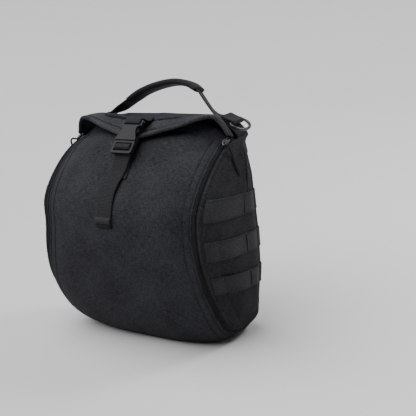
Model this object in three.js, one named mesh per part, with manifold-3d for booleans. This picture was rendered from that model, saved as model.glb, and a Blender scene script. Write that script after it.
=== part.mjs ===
// A tactical helmet bag: a padded drum-shaped bag with zipped side gussets, a hooded top flap with a
// side-release buckle, rows of load webbing on the gussets, a grip handle and two D-rings.
// Millimetres, +Z up, the front faces -Y, and the bag stands on z = 0.
import * as THREE from "three";
import Module from "manifold-3d";

// Driving dimensions of the body
const ZIP_X = 117; // half width at the zips
const DOME_X = 139; // half width at the fullest point of a gusset
const DOME_Y = 12; // where a gusset is fullest
const DOME_Z = 136;
const DOME_POWER = 3.5; // a higher power gives a flatter gusset
const CROWN_POWER = 3; // and here a flatter panel, steeper at its edges
const BACK_R = 24; // the rounding between back panel and gusset
const HEM_R = 3; // the rounding of a gusset's top hem
const BACK_Y = 78;
const BACK_TOP = 289; // height of the back panel
const GUSSET_TOP_BACK = 266;
const PANEL_T = 4; // padded panels
const GUSSET_T = 3.5;
const FLAP_T = 2.2;
const WEB_T = 1.5; // webbing thickness
const WEB_W = 25; // webbing width
const GAP = 0.4; // clearance between pieces that touch

// The rounding between panel and gusset is shared out along its arc: panel, then zip, then gusset
const ZIP_HALF = 3.3; // half a zip's width
const SEAM = 0.7; // the gap on each side of it

// Side view of the zip line, from the rim under the flap to the foot of the back. round is the
// rounding's radius, deg the zip's place on it, from the panel's face (0) to the gusset's (90), and
// crown is how far the middle of the panel stands out in front of its edges.
const SKIN = [
  { at: "rim", y: 25, z: 266, round: 24, deg: 30, crown: 14 },
  { at: "upper slope", y: 2, z: 254, round: 24, deg: 25, crown: 17 },
  { at: "slope", y: -24, z: 234, round: 24, deg: 21, crown: 15 },
  { at: "shoulder", y: -44, z: 213, round: 24, deg: 18, crown: 13 },
  { at: "chest", y: -57, z: 192, round: 24, deg: 17, crown: 12 },
  { at: "belly", y: -61, z: 170, round: 24, deg: 18, crown: 12 },
  { at: "waist", y: -59, z: 137, round: 26, deg: 24, crown: 13 },
  { at: "lower front", y: -46, z: 93, round: 32, deg: 40, crown: 13 },
  { at: "toe", y: -32, z: 63, round: 38, deg: 50, crown: 12 },
  { at: "sole front", y: -18, z: 38, round: 40, deg: 54, crown: 11 },
  { at: "sole", y: -2, z: 20, round: 36, deg: 55, crown: 12 },
  { at: "sole middle", y: 20, z: 13, round: 28, deg: 54, crown: 12 },
  { at: "sole back", y: 52, z: 13, round: 24, deg: 52, crown: 8 },
  { at: "back corner", y: 66, z: 21, round: 24, deg: 46, crown: 2 },
  { at: "heel", y: 72.4, z: 40, round: 24, deg: 40, crown: 0 },
  { at: "back foot", y: 72.4, z: 44, round: 24, deg: 40, crown: 0 },
];
const BACK_DEG = SKIN.at(-1).deg; // where the back panel ends on the rounding

// Half width of the bag along its back edge
const BACK_EDGE = [
  { z: 44, x: 125.6 },
  { z: 90, x: 132 },
  { z: 138, x: 133 },
  { z: 218, x: 129 },
  { z: 266, x: 120 },
  { z: 280, x: 110 },
  { z: 289, x: 100 },
];

// The flap from its seam on the back to its front hem: middle of the sheet, then its upper corner,
// then the tip of the wing that hangs beside the gusset.
const FLAP = [
  { at: "seam", y: 70, z: 292, corner: [78, 70, 289], wing: [82, 70, 287] },
  { at: "top", y: 50, z: 295.5, corner: [83, 52, 290.5], wing: [98, 48, 276] },
  { at: "ridge", y: 27, z: 293.5, corner: [98, 36, 297], wing: [117, 40, 274] },
  { at: "slope", y: 4, z: 285, corner: [102, 28, 298.5], wing: [122, 34, 274] },
  { at: "hem", y: -17, z: 274, corner: [104, 18, 298], wing: [122, 24, 275] },
];
const LEFT_DROOP = 4; // the flap's left front corner hangs lower and further forward

// Load webbing rows on each gusset: heights of a row's middle at its front and back end
const ROWS = [
  { frontZ: 196, backZ: 184 },
  { frontZ: 147, backZ: 133 },
  { frontZ: 98, backZ: 83 },
];
const ROW_FRONT = 9; // distance from the zip to a row's front end
const ROW_BACK_Y = 66;

// Handle: middle line of the padded grip and of the right strap that carries it
const GRIP = [
  { x: -44, y: 48, z: 313 },
  { x: -23, y: 50, z: 324 },
  { x: 7, y: 51.5, z: 333 },
  { x: 33, y: 52, z: 336 },
  { x: 54, y: 51, z: 332.5 },
  { x: 66, y: 50, z: 326 },
];
const GRIP_W = 25;
const GRIP_T = 8.5;
const STRAP_Y = 60; // middle of the handle straps where they are sewn on
const STRAP_SHOULDER = [
  { x: 82, z: 296 },
  { x: 95, z: 290.7 },
  { x: 107, z: 283 },
  { x: 117, z: 274 },
];
const STRAP_SEWN_Z = [262, 253, 244]; // heights of the stretch sewn to the gusset

// D-rings
const RING_WIRE_R = 1.6;
const RING_BAR = 28; // length of the straight bar between the corners' centres
const RING_DEPTH = 17;
const RING_CORNER_R = 3;
const RING_X = 112.5; // hinge line, parallel to Y
const RING_Z = 284.6;
const RING_DROOP_DEG = 33; // how far the ring hangs below the horizontal

// Buckle: origin at the middle of its top edge, lying at 45 degrees on the flap
const BUCKLE_Y = -4.7;
const BUCKLE_Z = 295.3;
const BUCKLE_TILT_DEG = 45;
const FEMALE_LENGTH = 31;
const BUCKLE_LENGTH = 50;
const BUCKLE_HALF_W = 16.5;
const BUCKLE_WAIST = 11; // half width at the side windows
const BUCKLE_T = 8;
const LATCH_T = 3.4;

const wasm = await Module();
wasm.setup();
const bag = new THREE.Group();
const rad = THREE.MathUtils.degToRad;
const lerp = THREE.MathUtils.lerp;
const vec = (x, y, z) => new THREE.Vector3(x, y, z);

// Materials
const finish = (color, roughness, metalness = 0) =>
  new THREE.MeshStandardMaterial({ color, roughness, metalness });
const FABRIC = () => finish(0x17181b, 0.85);
const WEBBING = () => finish(0x1d1f1f, 0.75);
const ZIP = () => finish(0x121316, 0.6);
const PLASTIC = () => finish(0x1b1c1e, 0.45);
const METAL = () => finish(0x2a2b2e, 0.35, 0.9);

// The filled bag sags to its lower left: a smooth swelling of that corner
const SAG_SHARE = 0.17; // share by which the half width grows where it is fullest
const SAG_OUT = 10; // how far it comes forward there
const SAG_Z = 55;
const SAG_REACH = 120;
const SAG_FRONT_Y = -10; // the sag dies out from here to the back
const FULL_SHARE = 0.05; // the left half is fuller at every height, up to the zip's top
const FULL_TOP = 275;
const SHOULDER_SHARE = 0.035; // and a little more at its shoulder
const SHOULDER_Z = 225;
const SHOULDER_REACH = 70;
function sagged(geometry) {
  const position = geometry.getAttribute("position");
  for (let i = 0; i < position.count; i++) {
    const [x, y, z] = [position.getX(i), position.getY(i), position.getZ(i)];
    const rise = Math.min(1, Math.abs(z - SAG_Z) / SAG_REACH);
    const front = 1 - THREE.MathUtils.smoothstep(y, SAG_FRONT_Y, BACK_Y - 8);
    const side = THREE.MathUtils.smoothstep(-x, 0, ZIP_X);
    const amount = (1 - rise * rise) ** 2 * front * side;
    const below = 1 - THREE.MathUtils.smoothstep(z, FULL_TOP - 17, FULL_TOP);
    const high = Math.min(1, Math.abs(z - SHOULDER_Z) / SHOULDER_REACH);
    const full = (FULL_SHARE * below + SHOULDER_SHARE * (1 - high * high) ** 2) * front * side;
    position.setXYZ(i, x * (1 + SAG_SHARE * amount + full), y - SAG_OUT * amount, z);
  }
  return geometry;
}

function addMesh(name, geometry, material) {
  const mesh = new THREE.Mesh(sagged(geometry), material);
  mesh.name = name;
  bag.add(mesh);
  return mesh;
}

// Mesh building

// A closed body, its faces turned outwards
function geometryFrom(points, faces) {
  const corner = vec(0, 0, 0);
  const volume = ([a, b, c]) => corner.crossVectors(points[b], points[c]).dot(points[a]);
  const inside = faces.reduce((sum, face) => sum + volume(face), 0) < 0;
  const turned = inside ? faces.map(([a, b, c]) => [a, c, b]) : faces;
  return new THREE.BufferGeometry().setFromPoints(points).setIndex(turned.flat());
}

// Triangles of a grid of points given row by row
function gridFaces(rows, columns) {
  const faces = [];
  for (let r = 0; r + 1 < rows; r++) {
    for (let c = 0; c + 1 < columns; c++) {
      const a = r * columns + c;
      const b = a + columns;
      faces.push([a, b, a + 1], [a + 1, b, b + 1]);
    }
  }
  return faces;
}

// Closes an open sheet of cloth into a wall: the sheet is its outer face
function thicken(points, faces, thickness) {
  const normals = points.map(() => vec(0, 0, 0));
  for (const [a, b, c] of faces) {
    const side = points[b].clone().sub(points[a]);
    const normal = side.cross(points[c].clone().sub(points[a]));
    for (const i of [a, b, c]) normals[i].add(normal);
  }
  const inner = points.map((p, i) => p.clone().addScaledVector(normals[i].normalize(), -thickness));
  const n = points.length;
  const key = (a, b) => a * n + b;
  const edges = new Set(faces.flatMap(([a, b, c]) => [key(a, b), key(b, c), key(c, a)]));
  const all = [...faces];
  for (const [a, b, c] of faces) {
    all.push([a + n, c + n, b + n]);
    for (const [from, to] of [[a, b], [b, c], [c, a]]) {
      if (!edges.has(key(to, from))) all.push([to, from, from + n], [to, from + n, to + n]);
    }
  }
  return geometryFrom([...points, ...inner], all);
}

// Joins closed sections of equal length into one solid with flat ends
function loft(sections) {
  const sides = sections[0].length;
  const points = sections.flat();
  const faces = [];
  for (let s = 0; s + 1 < sections.length; s++) {
    for (let i = 0; i < sides; i++) {
      const a = s * sides + i;
      const b = s * sides + ((i + 1) % sides);
      faces.push([a, b, a + sides], [b, b + sides, a + sides]);
    }
  }
  const ends = [[0, 1], [sections.length - 1, 0]];
  for (const [s, flip] of ends) {
    const middle = points.length;
    const sum = sections[s].reduce((total, p) => total.add(p), vec(0, 0, 0));
    points.push(sum.divideScalar(sides));
    for (let i = 0; i < sides; i++) {
      const a = s * sides + i;
      const b = s * sides + ((i + 1) % sides);
      faces.push(flip ? [middle, b, a] : [middle, a, b]);
    }
  }
  return geometryFrom(points, faces);
}

// A flat strap: a rectangle carried along a path, its width along a fixed direction
function ribbon(path, across, width, thickness) {
  const sections = path.map((p, i) => {
    const before = path[Math.max(0, i - 1)];
    const after = path[Math.min(path.length - 1, i + 1)];
    const up = after.clone().sub(before).normalize().cross(across).normalize();
    const corner = (side, rise) =>
      p.clone().addScaledVector(across, (side * width) / 2).addScaledVector(up, (rise * thickness) / 2);
    return [corner(-1, -1), corner(1, -1), corner(1, 1), corner(-1, 1)];
  });
  return loft(sections);
}

function mirrored(geometry) {
  const copy = geometry.clone().applyMatrix4(new THREE.Matrix4().makeScale(-1, 1, 1));
  const index = copy.index.array;
  for (let i = 0; i < index.length; i += 3) [index[i + 1], index[i + 2]] = [index[i + 2], index[i + 1]];
  return copy;
}

// Adds a right-hand piece and its mirror image
function addPair(name, geometry, material) {
  addMesh(`${name}_right`, geometry, material());
  addMesh(`${name}_left`, mirrored(geometry), material());
}

function smooth(points, count) {
  return new THREE.CatmullRomCurve3(points, false, "centripetal").getPoints(count);
}

// Booleans

function toSolid(geometry) {
  const merged = mergePositions(geometry);
  return new wasm.Manifold(new wasm.Mesh({ numProp: 3, ...merged }));
}

// Shared vertices of a geometry merged by their place
function mergePositions(geometry) {
  const source = geometry.index ? geometry.toNonIndexed() : geometry;
  const position = source.getAttribute("position");
  const seen = new Map();
  const vertProperties = [];
  const triVerts = [];
  for (let i = 0; i < position.count; i++) {
    const p = [position.getX(i), position.getY(i), position.getZ(i)];
    const key = p.map((value) => Math.round(value * 1e4)).join(",");
    if (!seen.has(key)) {
      seen.set(key, seen.size);
      vertProperties.push(...p);
    }
    triVerts.push(seen.get(key));
  }
  return { vertProperties: new Float32Array(vertProperties), triVerts: new Uint32Array(triVerts) };
}

function toGeometry(solid) {
  const mesh = solid.getMesh();
  const geometry = new THREE.BufferGeometry();
  geometry.setAttribute("position", new THREE.BufferAttribute(new Float32Array(mesh.vertProperties), 3));
  geometry.setIndex([...mesh.triVerts]);
  return geometry;
}

// Body stations: a point of the skin line, its outward direction in side view and the half width there

function skinStations(count) {
  const line = smooth(SKIN.map(({ y, z, crown }) => vec(crown, y, z)), count);
  const angles = smooth(SKIN.map(({ y, z, deg }) => vec(deg, y, z)), count);
  const rounds = smooth(SKIN.map(({ y, z, round }) => vec(round, y, z)), count);
  return line.map((p, i) => {
    const before = line[Math.max(0, i - 1)];
    const after = line[Math.min(line.length - 1, i + 1)];
    const run = Math.hypot(after.y - before.y, after.z - before.z);
    const out = { y: (after.z - before.z) / run, z: -(after.y - before.y) / run };
    const deg = angles[i].x;
    const round = rounds[i].x;
    const rise = round * (1 - Math.cos(rad(deg)));
    const sideX = ZIP_X + round * (1 - Math.sin(rad(deg)));
    return { y: p.y + out.y * rise, z: p.z + out.z * rise, out, round, deg, crown: p.x, sideX };
  });
}

function backHalfWidth(z) {
  const next = Math.min(Math.max(1, BACK_EDGE.findIndex((row) => row.z >= z)), BACK_EDGE.length - 1);
  const [low, high] = [BACK_EDGE[next - 1], BACK_EDGE[next]];
  return lerp(low.x, high.x, (z - low.z) / (high.z - low.z));
}

function backStation(z) {
  const sideX = backHalfWidth(z);
  return { y: BACK_Y, z, out: { y: 1, z: 0 }, round: BACK_R, deg: BACK_DEG, crown: 0, sideX };
}

// A point on a station's rounded corner, deg from the panel's face towards the gusset's
function cornerPoint(station, deg, lift = 0) {
  const { round } = station;
  const radius = round + lift;
  const inset = radius * Math.cos(rad(deg)) - round;
  return vec(
    station.sideX - round + radius * Math.sin(rad(deg)),
    station.y + station.out.y * inset,
    station.z + station.out.z * inset,
  );
}

// The angle of a place on the rounding, given in mm of arc from the zip's middle
const arcDeg = (station, arc) => station.deg + THREE.MathUtils.radToDeg(arc / station.round);

// Points across a panel at one station, from the left corner to the right one
const PANEL_SHARES = [0, 0.22, 0.44, 0.64, 0.82, 1];
const CORNER_SHARES = [0.5, 0.94, 1];
function panelRow(station, endArc) {
  const end = arcDeg(station, endArc);
  const flatX = station.sideX - station.round;
  const edgeSlope = THREE.MathUtils.radToDeg(Math.atan((CROWN_POWER * station.crown) / flatX));
  const leaveDeg = Math.min(0.8 * edgeSlope, 0.5 * end);
  const start = cornerPoint(station, leaveDeg);
  const half = PANEL_SHARES.map((share) => {
    const rise = station.crown * (1 - share ** CROWN_POWER);
    const dip = start.clone();
    dip.x = start.x * share;
    dip.y += station.out.y * rise;
    dip.z = Math.max(0, dip.z + station.out.z * rise);
    return dip;
  });
  for (const share of CORNER_SHARES) half.push(cornerPoint(station, lerp(leaveDeg, end, share)));
  const left = half.slice(1).reverse().map((p) => vec(-p.x, p.y, p.z));
  return [...left, ...half];
}

function panel(stations, endArc) {
  const rows = stations.map((station) => panelRow(station, endArc));
  return thicken(rows.flat(), gridFaces(rows.length, rows[0].length), PANEL_T);
}

// Front and bottom panel
const FRONT = skinStations(34);
const PANEL_END = -ZIP_HALF - SEAM;
addMesh("front_panel", panel(FRONT, PANEL_END), FABRIC());

// Back panel
const FOOT_Z = SKIN.at(-1).z;
const BACK_BELOW = [FOOT_Z + 2 * GAP, FOOT_Z + 4, 66, 90, 138, 178, 218, 246];
const BACK_ROWS = [...BACK_BELOW, GUSSET_TOP_BACK, 280, BACK_TOP];
const BACK = BACK_ROWS.map(backStation);
addMesh("back_panel", panel(BACK, ZIP_HALF - SEAM), FABRIC());

const onZip = (station, lift, arc = 0) => cornerPoint(station, arcDeg(station, arc), lift);

// Zips: a tape with a raised coil, set a little below the skin
const ZIP_SECTION = [
  { arc: -ZIP_HALF, lift: -3 },
  { arc: -ZIP_HALF, lift: -1 },
  { arc: -1.3, lift: -1 },
  { arc: 0, lift: 0.7 },
  { arc: 1.3, lift: -1 },
  { arc: ZIP_HALF, lift: -1 },
  { arc: ZIP_HALF, lift: -3 },
];
const zipSections = FRONT.map((station) =>
  ZIP_SECTION.map(({ arc, lift }) => onZip(station, lift, arc)),
);
addPair("zip", loft(zipSections), ZIP);

// Gussets

// Stations all round a gusset, against the clock seen from outside: front, back, then the top edge
function gussetStations() {
  const front = FRONT.filter((station, i) => i % 2 === 0);
  const back = BACK.slice(1).filter(({ z }) => z <= GUSSET_TOP_BACK);
  const rim = FRONT[0];
  const corner = back.at(-1);
  const top = [0, 0.25, 0.5, 0.75, 1].map((share) => ({
    y: lerp(corner.y - 1.3 * BACK_R, rim.y + 0.75 * rim.round, share),
    z: lerp(corner.z, rim.z, share),
    out: { y: 0, z: 1 },
    deg: BACK_DEG,
    round: HEM_R,
    sideX: lerp(corner.sideX, rim.sideX, share),
  }));
  return [...front, ...back, ...top];
}
const GUSSET = gussetStations();
const GUSSET_SHARES = [0, 0.03, 0.28, 0.62, 1]; // of the way round the rounding
const SHOULDER_DEG = 88;
function gussetCorner(station, share) {
  const from = station.round === HEM_R ? station.deg : arcDeg(station, ZIP_HALF + SEAM);
  return cornerPoint(station, lerp(from, SHOULDER_DEG, share));
}
const SHOULDER = GUSSET.map((station) => gussetCorner(station, 1));

// Half width of the dome at a share of the way from its middle to its shoulder
function domeX(shoulderX, share) {
  return shoulderX + (DOME_X - shoulderX) * (1 - share ** DOME_POWER);
}

const DOME_SHARES = [0.86, 0.66, 0.45, 0.22];
// The gusset's outer face, from the middle of its dome outwards
function gussetSkin() {
  const count = GUSSET.length;
  const rings = GUSSET_SHARES.map((share) => GUSSET.map((station) => gussetCorner(station, share)));
  for (const share of DOME_SHARES) {
    rings.push(
      SHOULDER.map((p) => vec(domeX(p.x, share), lerp(DOME_Y, p.y, share), lerp(DOME_Z, p.z, share))),
    );
  }
  const points = [...rings.flat(), vec(DOME_X, DOME_Y, DOME_Z)];
  const last = (rings.length - 1) * count;
  const faces = [];
  for (let i = 0; i < count; i++) faces.push([last + i, last + ((i + 1) % count), points.length - 1]);
  for (let r = rings.length - 2; r >= 0; r--) {
    for (let i = 0; i < count; i++) {
      const a = r * count + i;
      const b = r * count + ((i + 1) % count);
      faces.push([a, b, a + count], [b, b + count, a + count]);
    }
  }
  return { points, faces };
}
const SKIN_SIDE = gussetSkin();
addPair("side_panel", thicken(SKIN_SIDE.points, SKIN_SIDE.faces, GUSSET_T), FABRIC);

// Half width of the gusset's outer face at a point of the side view
function gussetX(y, z) {
  for (const face of SKIN_SIDE.faces) {
    const [a, b, c] = face.map((i) => SKIN_SIDE.points[i]);
    const area = (b.y - a.y) * (c.z - a.z) - (b.z - a.z) * (c.y - a.y);
    const shareB = ((y - a.y) * (c.z - a.z) - (z - a.z) * (c.y - a.y)) / area;
    const shareC = ((b.y - a.y) * (z - a.z) - (b.z - a.z) * (y - a.y)) / area;
    if (shareB >= 0 && shareC >= 0 && shareB + shareC <= 1) {
      return a.x + shareB * (b.x - a.x) + shareC * (c.x - a.x);
    }
  }
  throw new Error(`no gusset at ${y}, ${z}`);
}

// A point raised off the gusset along its normal
function onGusset(y, z, lift) {
  const reach = 2;
  const slopeY = (gussetX(y + reach, z) - gussetX(y - reach, z)) / (2 * reach);
  const slopeZ = (gussetX(y, z + reach) - gussetX(y, z - reach)) / (2 * reach);
  return vec(gussetX(y, z), y, z).addScaledVector(vec(1, -slopeY, -slopeZ).normalize(), lift);
}

// The zip line's depth at a height, above the sole
function zipY(z) {
  const next = FRONT.findIndex((station) => onZip(station, 0).z <= z);
  const [high, low] = [onZip(FRONT[next - 1], 0), onZip(FRONT[next], 0)];
  return lerp(low.y, high.y, (z - low.z) / (high.z - low.z));
}

// Rows of load webbing, lying on the gusset
const ROW_STEPS = [0, 0.04, 0.09, 0.15, 0.22, 0.3, 0.4, 0.5, 0.6, 0.7, 0.8, 0.9, 1];
const ROW_LIFT = 1.7; // the rows stand off a little, as they are bar-tacked only here and there
const ROW_SHARES = [-0.5, -0.25, 0, 0.25, 0.5];
function webbingRow({ frontZ, backZ }) {
  const points = [];
  for (const step of ROW_STEPS) {
    for (const side of ROW_SHARES) {
      const frontY = zipY(frontZ + side * WEB_W) + ROW_FRONT;
      const y = lerp(frontY, ROW_BACK_Y, step);
      const z = lerp(frontZ, backZ, step) + side * WEB_W;
      points.push(onGusset(y, z, WEB_T + ROW_LIFT));
    }
  }
  return thicken(points, gridFaces(ROW_STEPS.length, ROW_SHARES.length), WEB_T);
}
ROWS.forEach((row, i) => addPair(`webbing_row_${i + 1}`, webbingRow(row), WEBBING));

// Top flap

// One row of the flap from its left wing over the top to its right wing
const FLAP_HALF_STEPS = 9;
function flapRow(row, droop) {
  const half = (side) => {
    const low = side < 0 ? droop : 0;
    const [cornerX, cornerY, cornerZ] = row.corner;
    const [wingX, wingY, wingZ] = row.wing;
    const corner = vec(side * (cornerX + 0.5 * low), cornerY - low, cornerZ - low);
    const wing = vec(side * wingX, wingY, wingZ);
    const middle = vec(0, row.y, row.z);
    const roll = corner.clone().lerp(wing, 0.35).add(vec(side * 3, 0, 1));
    const quarter = middle.clone().lerp(corner, 0.5);
    const line = new THREE.CatmullRomCurve3([middle, quarter, corner, roll, wing], false, "centripetal");
    return line.getSpacedPoints(FLAP_HALF_STEPS);
  };
  return [...half(-1).reverse(), ...half(1).slice(1)];
}

function flapRows() {
  const rows = FLAP.map((row, i) => flapRow(row, (LEFT_DROOP * i * i) / (FLAP.length - 1) ** 2));
  const columns = rows[0].map((_, c) => smooth(rows.map((row) => row[c]), 12));
  return columns[0].map((_, r) => columns.map((column) => column[r]));
}

function flap() {
  const rows = flapRows();
  return thicken(rows.flat(), gridFaces(rows.length, rows[0].length), FLAP_T);
}
addMesh("top_flap", flap(), FABRIC());

// Handle
const ACROSS = vec(0, 1, 0);
const GRIP_SECTION = [
  { side: -1, rise: -0.45 },
  { side: -0.75, rise: -1 },
  { side: 0.75, rise: -1 },
  { side: 1, rise: -0.45 },
  { side: 1, rise: 0.45 },
  { side: 0.75, rise: 1 },
  { side: -0.75, rise: 1 },
  { side: -1, rise: 0.45 },
];
function grip() {
  const path = smooth(GRIP.map(({ x, y, z }) => vec(x, y, z)), 14);
  const sections = path.map((p, i) => {
    const before = path[Math.max(0, i - 1)];
    const after = path[Math.min(path.length - 1, i + 1)];
    const up = after.clone().sub(before).normalize().cross(ACROSS).normalize();
    return GRIP_SECTION.map(({ side, rise }) =>
      p.clone().addScaledVector(ACROSS, (side * GRIP_W) / 2).addScaledVector(up, (rise * GRIP_T) / 2),
    );
  });
  return loft(sections);
}
addMesh("handle_grip", grip(), WEBBING());

// A strap from the end of the grip down over the gusset's top edge, to where it is sewn on
function handleStrap(end, side) {
  const outward = vec(side * 1.5 * GAP, 0, -GAP);
  const path = [vec(end.x, end.y, end.z).add(outward)];
  for (const { x, z } of STRAP_SHOULDER) path.push(vec(side * x, STRAP_Y - 1, z));
  for (const z of STRAP_SEWN_Z) path.push(vec(side * (sewnX(z) + WEB_T / 2 + 3.5 * GAP), STRAP_Y, z));
  const line = smooth(path, 16);
  return ribbon(side > 0 ? line : line.reverse(), ACROSS, WEB_W, WEB_T);
}

// The gusset's fullest half width under a handle strap at height z
function sewnX(z) {
  const places = [-0.5, -0.25, 0, 0.25].map((share) => gussetX(STRAP_Y + share * WEB_W, z));
  return Math.max(...places);
}
addMesh("handle_strap_right", handleStrap(GRIP.at(-1), 1), WEBBING());
addMesh("handle_strap_left", handleStrap(GRIP[0], -1), WEBBING());

// D-rings: wire bent round a straight bar, in a plane that droops from the hinge line
function ringPath() {
  const outline = new THREE.Path();
  const half = RING_BAR / 2;
  outline.moveTo(-half, 0);
  outline.lineTo(half, 0);
  outline.absarc(half, RING_CORNER_R, RING_CORNER_R, -Math.PI / 2, 0);
  const bowFrom = RING_CORNER_R + 3;
  outline.absellipse(0, bowFrom, half + RING_CORNER_R, RING_DEPTH - bowFrom, 0, Math.PI);
  outline.absarc(-half, RING_CORNER_R, RING_CORNER_R, Math.PI, 1.5 * Math.PI);
  return outline.getSpacedPoints(28).slice(0, -1);
}

const RING_SIDES = 8;
function ring() {
  const reach = vec(Math.cos(rad(RING_DROOP_DEG)), 0, -Math.sin(rad(RING_DROOP_DEG)));
  const normal = reach.clone().cross(ACROSS).normalize();
  const hinge = vec(RING_X, STRAP_Y, RING_Z);
  const spot = (p) => hinge.clone().addScaledVector(ACROSS, p.x).addScaledVector(reach, p.y);
  const line = ringPath().map(spot);
  const points = [];
  line.forEach((p, i) => {
    const along = line[(i + 1) % line.length].clone().sub(line.at(i - 1)).normalize();
    const radial = along.cross(normal).normalize();
    for (let s = 0; s < RING_SIDES; s++) {
      const turn = (2 * Math.PI * s) / RING_SIDES;
      const place = p.clone().addScaledVector(radial, RING_WIRE_R * Math.cos(turn));
      points.push(place.addScaledVector(normal, RING_WIRE_R * Math.sin(turn)));
    }
  });
  const faces = [];
  for (let i = 0; i < line.length; i++) {
    const here = i * RING_SIDES;
    const next = ((i + 1) % line.length) * RING_SIDES;
    for (let s = 0; s < RING_SIDES; s++) {
      const t = (s + 1) % RING_SIDES;
      faces.push([here + s, next + s, here + t], [here + t, next + s, next + t]);
    }
  }
  return geometryFrom(points, faces);
}
addPair("d_ring", ring(), METAL);

// The webbing loop that carries a ring: two layers lying on the handle strap, and a bend round the bar
function ringTab() {
  const bend = RING_WIRE_R + GAP + WEB_T / 2;
  const slope = rad(44);
  const along = vec(Math.cos(slope), 0, -Math.sin(slope));
  const up = vec(Math.sin(slope), 0, Math.cos(slope));
  const hinge = vec(RING_X, STRAP_Y, RING_Z);
  const spot = (run, rise) => hinge.clone().addScaledVector(along, run).addScaledVector(up, rise);
  const path = [spot(-17, -bend - 2.6), spot(-8, -bend - 0.5)];
  for (let deg = -90; deg <= 90; deg += 30) {
    path.push(spot(bend * Math.cos(rad(deg)), bend * Math.sin(rad(deg))));
  }
  path.push(spot(-8, -bend + 2.4), spot(-17, -bend - 0.5));
  return ribbon(path, ACROSS, WEB_W, WEB_T);
}
addPair("ring_tab", ringTab(), WEBBING);

// Zip sliders and their ribbon pulls
const SLIDER_STATION = FRONT[1]; // just under the rim
const SLIDER_LENGTH = 11;
const SLIDER_W = 8;
const SLIDER_T = 4;
const SLIDER_SECTION = [
  { side: -1, rise: 0 },
  { side: -1, rise: 0.7 },
  { side: -0.5, rise: 1 },
  { side: 0.5, rise: 1 },
  { side: 1, rise: 0.7 },
  { side: 1, rise: 0 },
];
const PULL_W = 7;
const PULL_T = 1.8;

function slider() {
  const b = onZip(FRONT[0], 1.2 + GAP);
  const a = onZip(SLIDER_STATION, 1.2 + GAP).lerp(b, 0.4);
  const along = b.clone().sub(a).normalize();
  const face = onZip(SLIDER_STATION, 2).sub(onZip(SLIDER_STATION, 1)).normalize();
  const width = along.clone().cross(face).normalize();
  const shares = [0.55, 0.85, 1, 1, 0.8];
  const sections = shares.map((share, i) => {
    const spot = a.clone().addScaledVector(along, (i / (shares.length - 1)) * SLIDER_LENGTH);
    const half = (share * SLIDER_W) / 2;
    return SLIDER_SECTION.map(({ side, rise }) =>
      spot.clone().addScaledVector(width, side * half).addScaledVector(face, rise * SLIDER_T),
    );
  });
  return loft(sections);
}
addPair("zip_slider", slider(), METAL);

const PULL = [
  { y: 17, z: 252, lift: 3.5 },
  { y: 19, z: 240, lift: 2.5 },
  { y: 21, z: 225, lift: 2 },
];
function pull() {
  const line = PULL.map(({ y, z, lift }) => onGusset(y, z, lift));
  const path = smooth([onZip(SLIDER_STATION, SLIDER_T + 4, 6), ...line], 8);
  return ribbon(path, vec(0, 0.93, 0.36), PULL_W, PULL_T);
}
addPair("zip_pull", pull(), WEBBING);

// Buckle and its straps, drawn flat in the buckle's own frame: across, down its length, and out
const tilt = rad(BUCKLE_TILT_DEG);
const DOWN = vec(0, -Math.sin(tilt), -Math.cos(tilt));
const OUT = vec(0, -Math.cos(tilt), Math.sin(tilt));
const BUCKLE_FRAME = new THREE.Matrix4()
  .makeBasis(vec(-1, 0, 0), DOWN, OUT)
  .setPosition(0, BUCKLE_Y, BUCKLE_Z);

// A flat plate from an outline of [across, down] points on one side, mirrored to the other
function plate(half, thickness, middle = 0) {
  const shape = new THREE.Shape();
  const rest = half.slice().reverse().map(([across, down]) => [-across, down]);
  shape.setFromPoints([...half, ...rest].map(([across, down]) => new THREE.Vector2(across, down)));
  const geometry = new THREE.ExtrudeGeometry(shape, { depth: thickness, bevelEnabled: false });
  return toSolid(geometry.translate(0, 0, middle - thickness / 2));
}
const block = (halfAcross, from, to, thickness, middle = 0) =>
  plate([[halfAcross, from], [halfAcross, to]], thickness, middle);

const SLOT_HALF = WEB_W / 2 + 0.8;
function femaleHalf() {
  const outline = [
    [BUCKLE_HALF_W - 1.5, 0],
    [BUCKLE_HALF_W - 0.5, 2],
    [BUCKLE_HALF_W - 1, 9],
    [BUCKLE_WAIST, 11],
    [BUCKLE_WAIST, 17],
    [BUCKLE_HALF_W - 2, 25],
    [BUCKLE_HALF_W, 29],
    [BUCKLE_HALF_W, FEMALE_LENGTH],
  ];
  const body = plate(outline, BUCKLE_T);
  const cavity = block(BUCKLE_HALF_W - 1.6, 10.5, FEMALE_LENGTH + 1, LATCH_T + 2 * GAP);
  const slot = block(SLOT_HALF, 3.6, 7.6, BUCKLE_T + 2);
  const step = (side) => block(BUCKLE_HALF_W + 1, -1, 8.5, 3, (side * BUCKLE_T) / 2);
  return body.subtract(cavity).subtract(slot).subtract(step(1)).subtract(step(-1));
}

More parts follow.
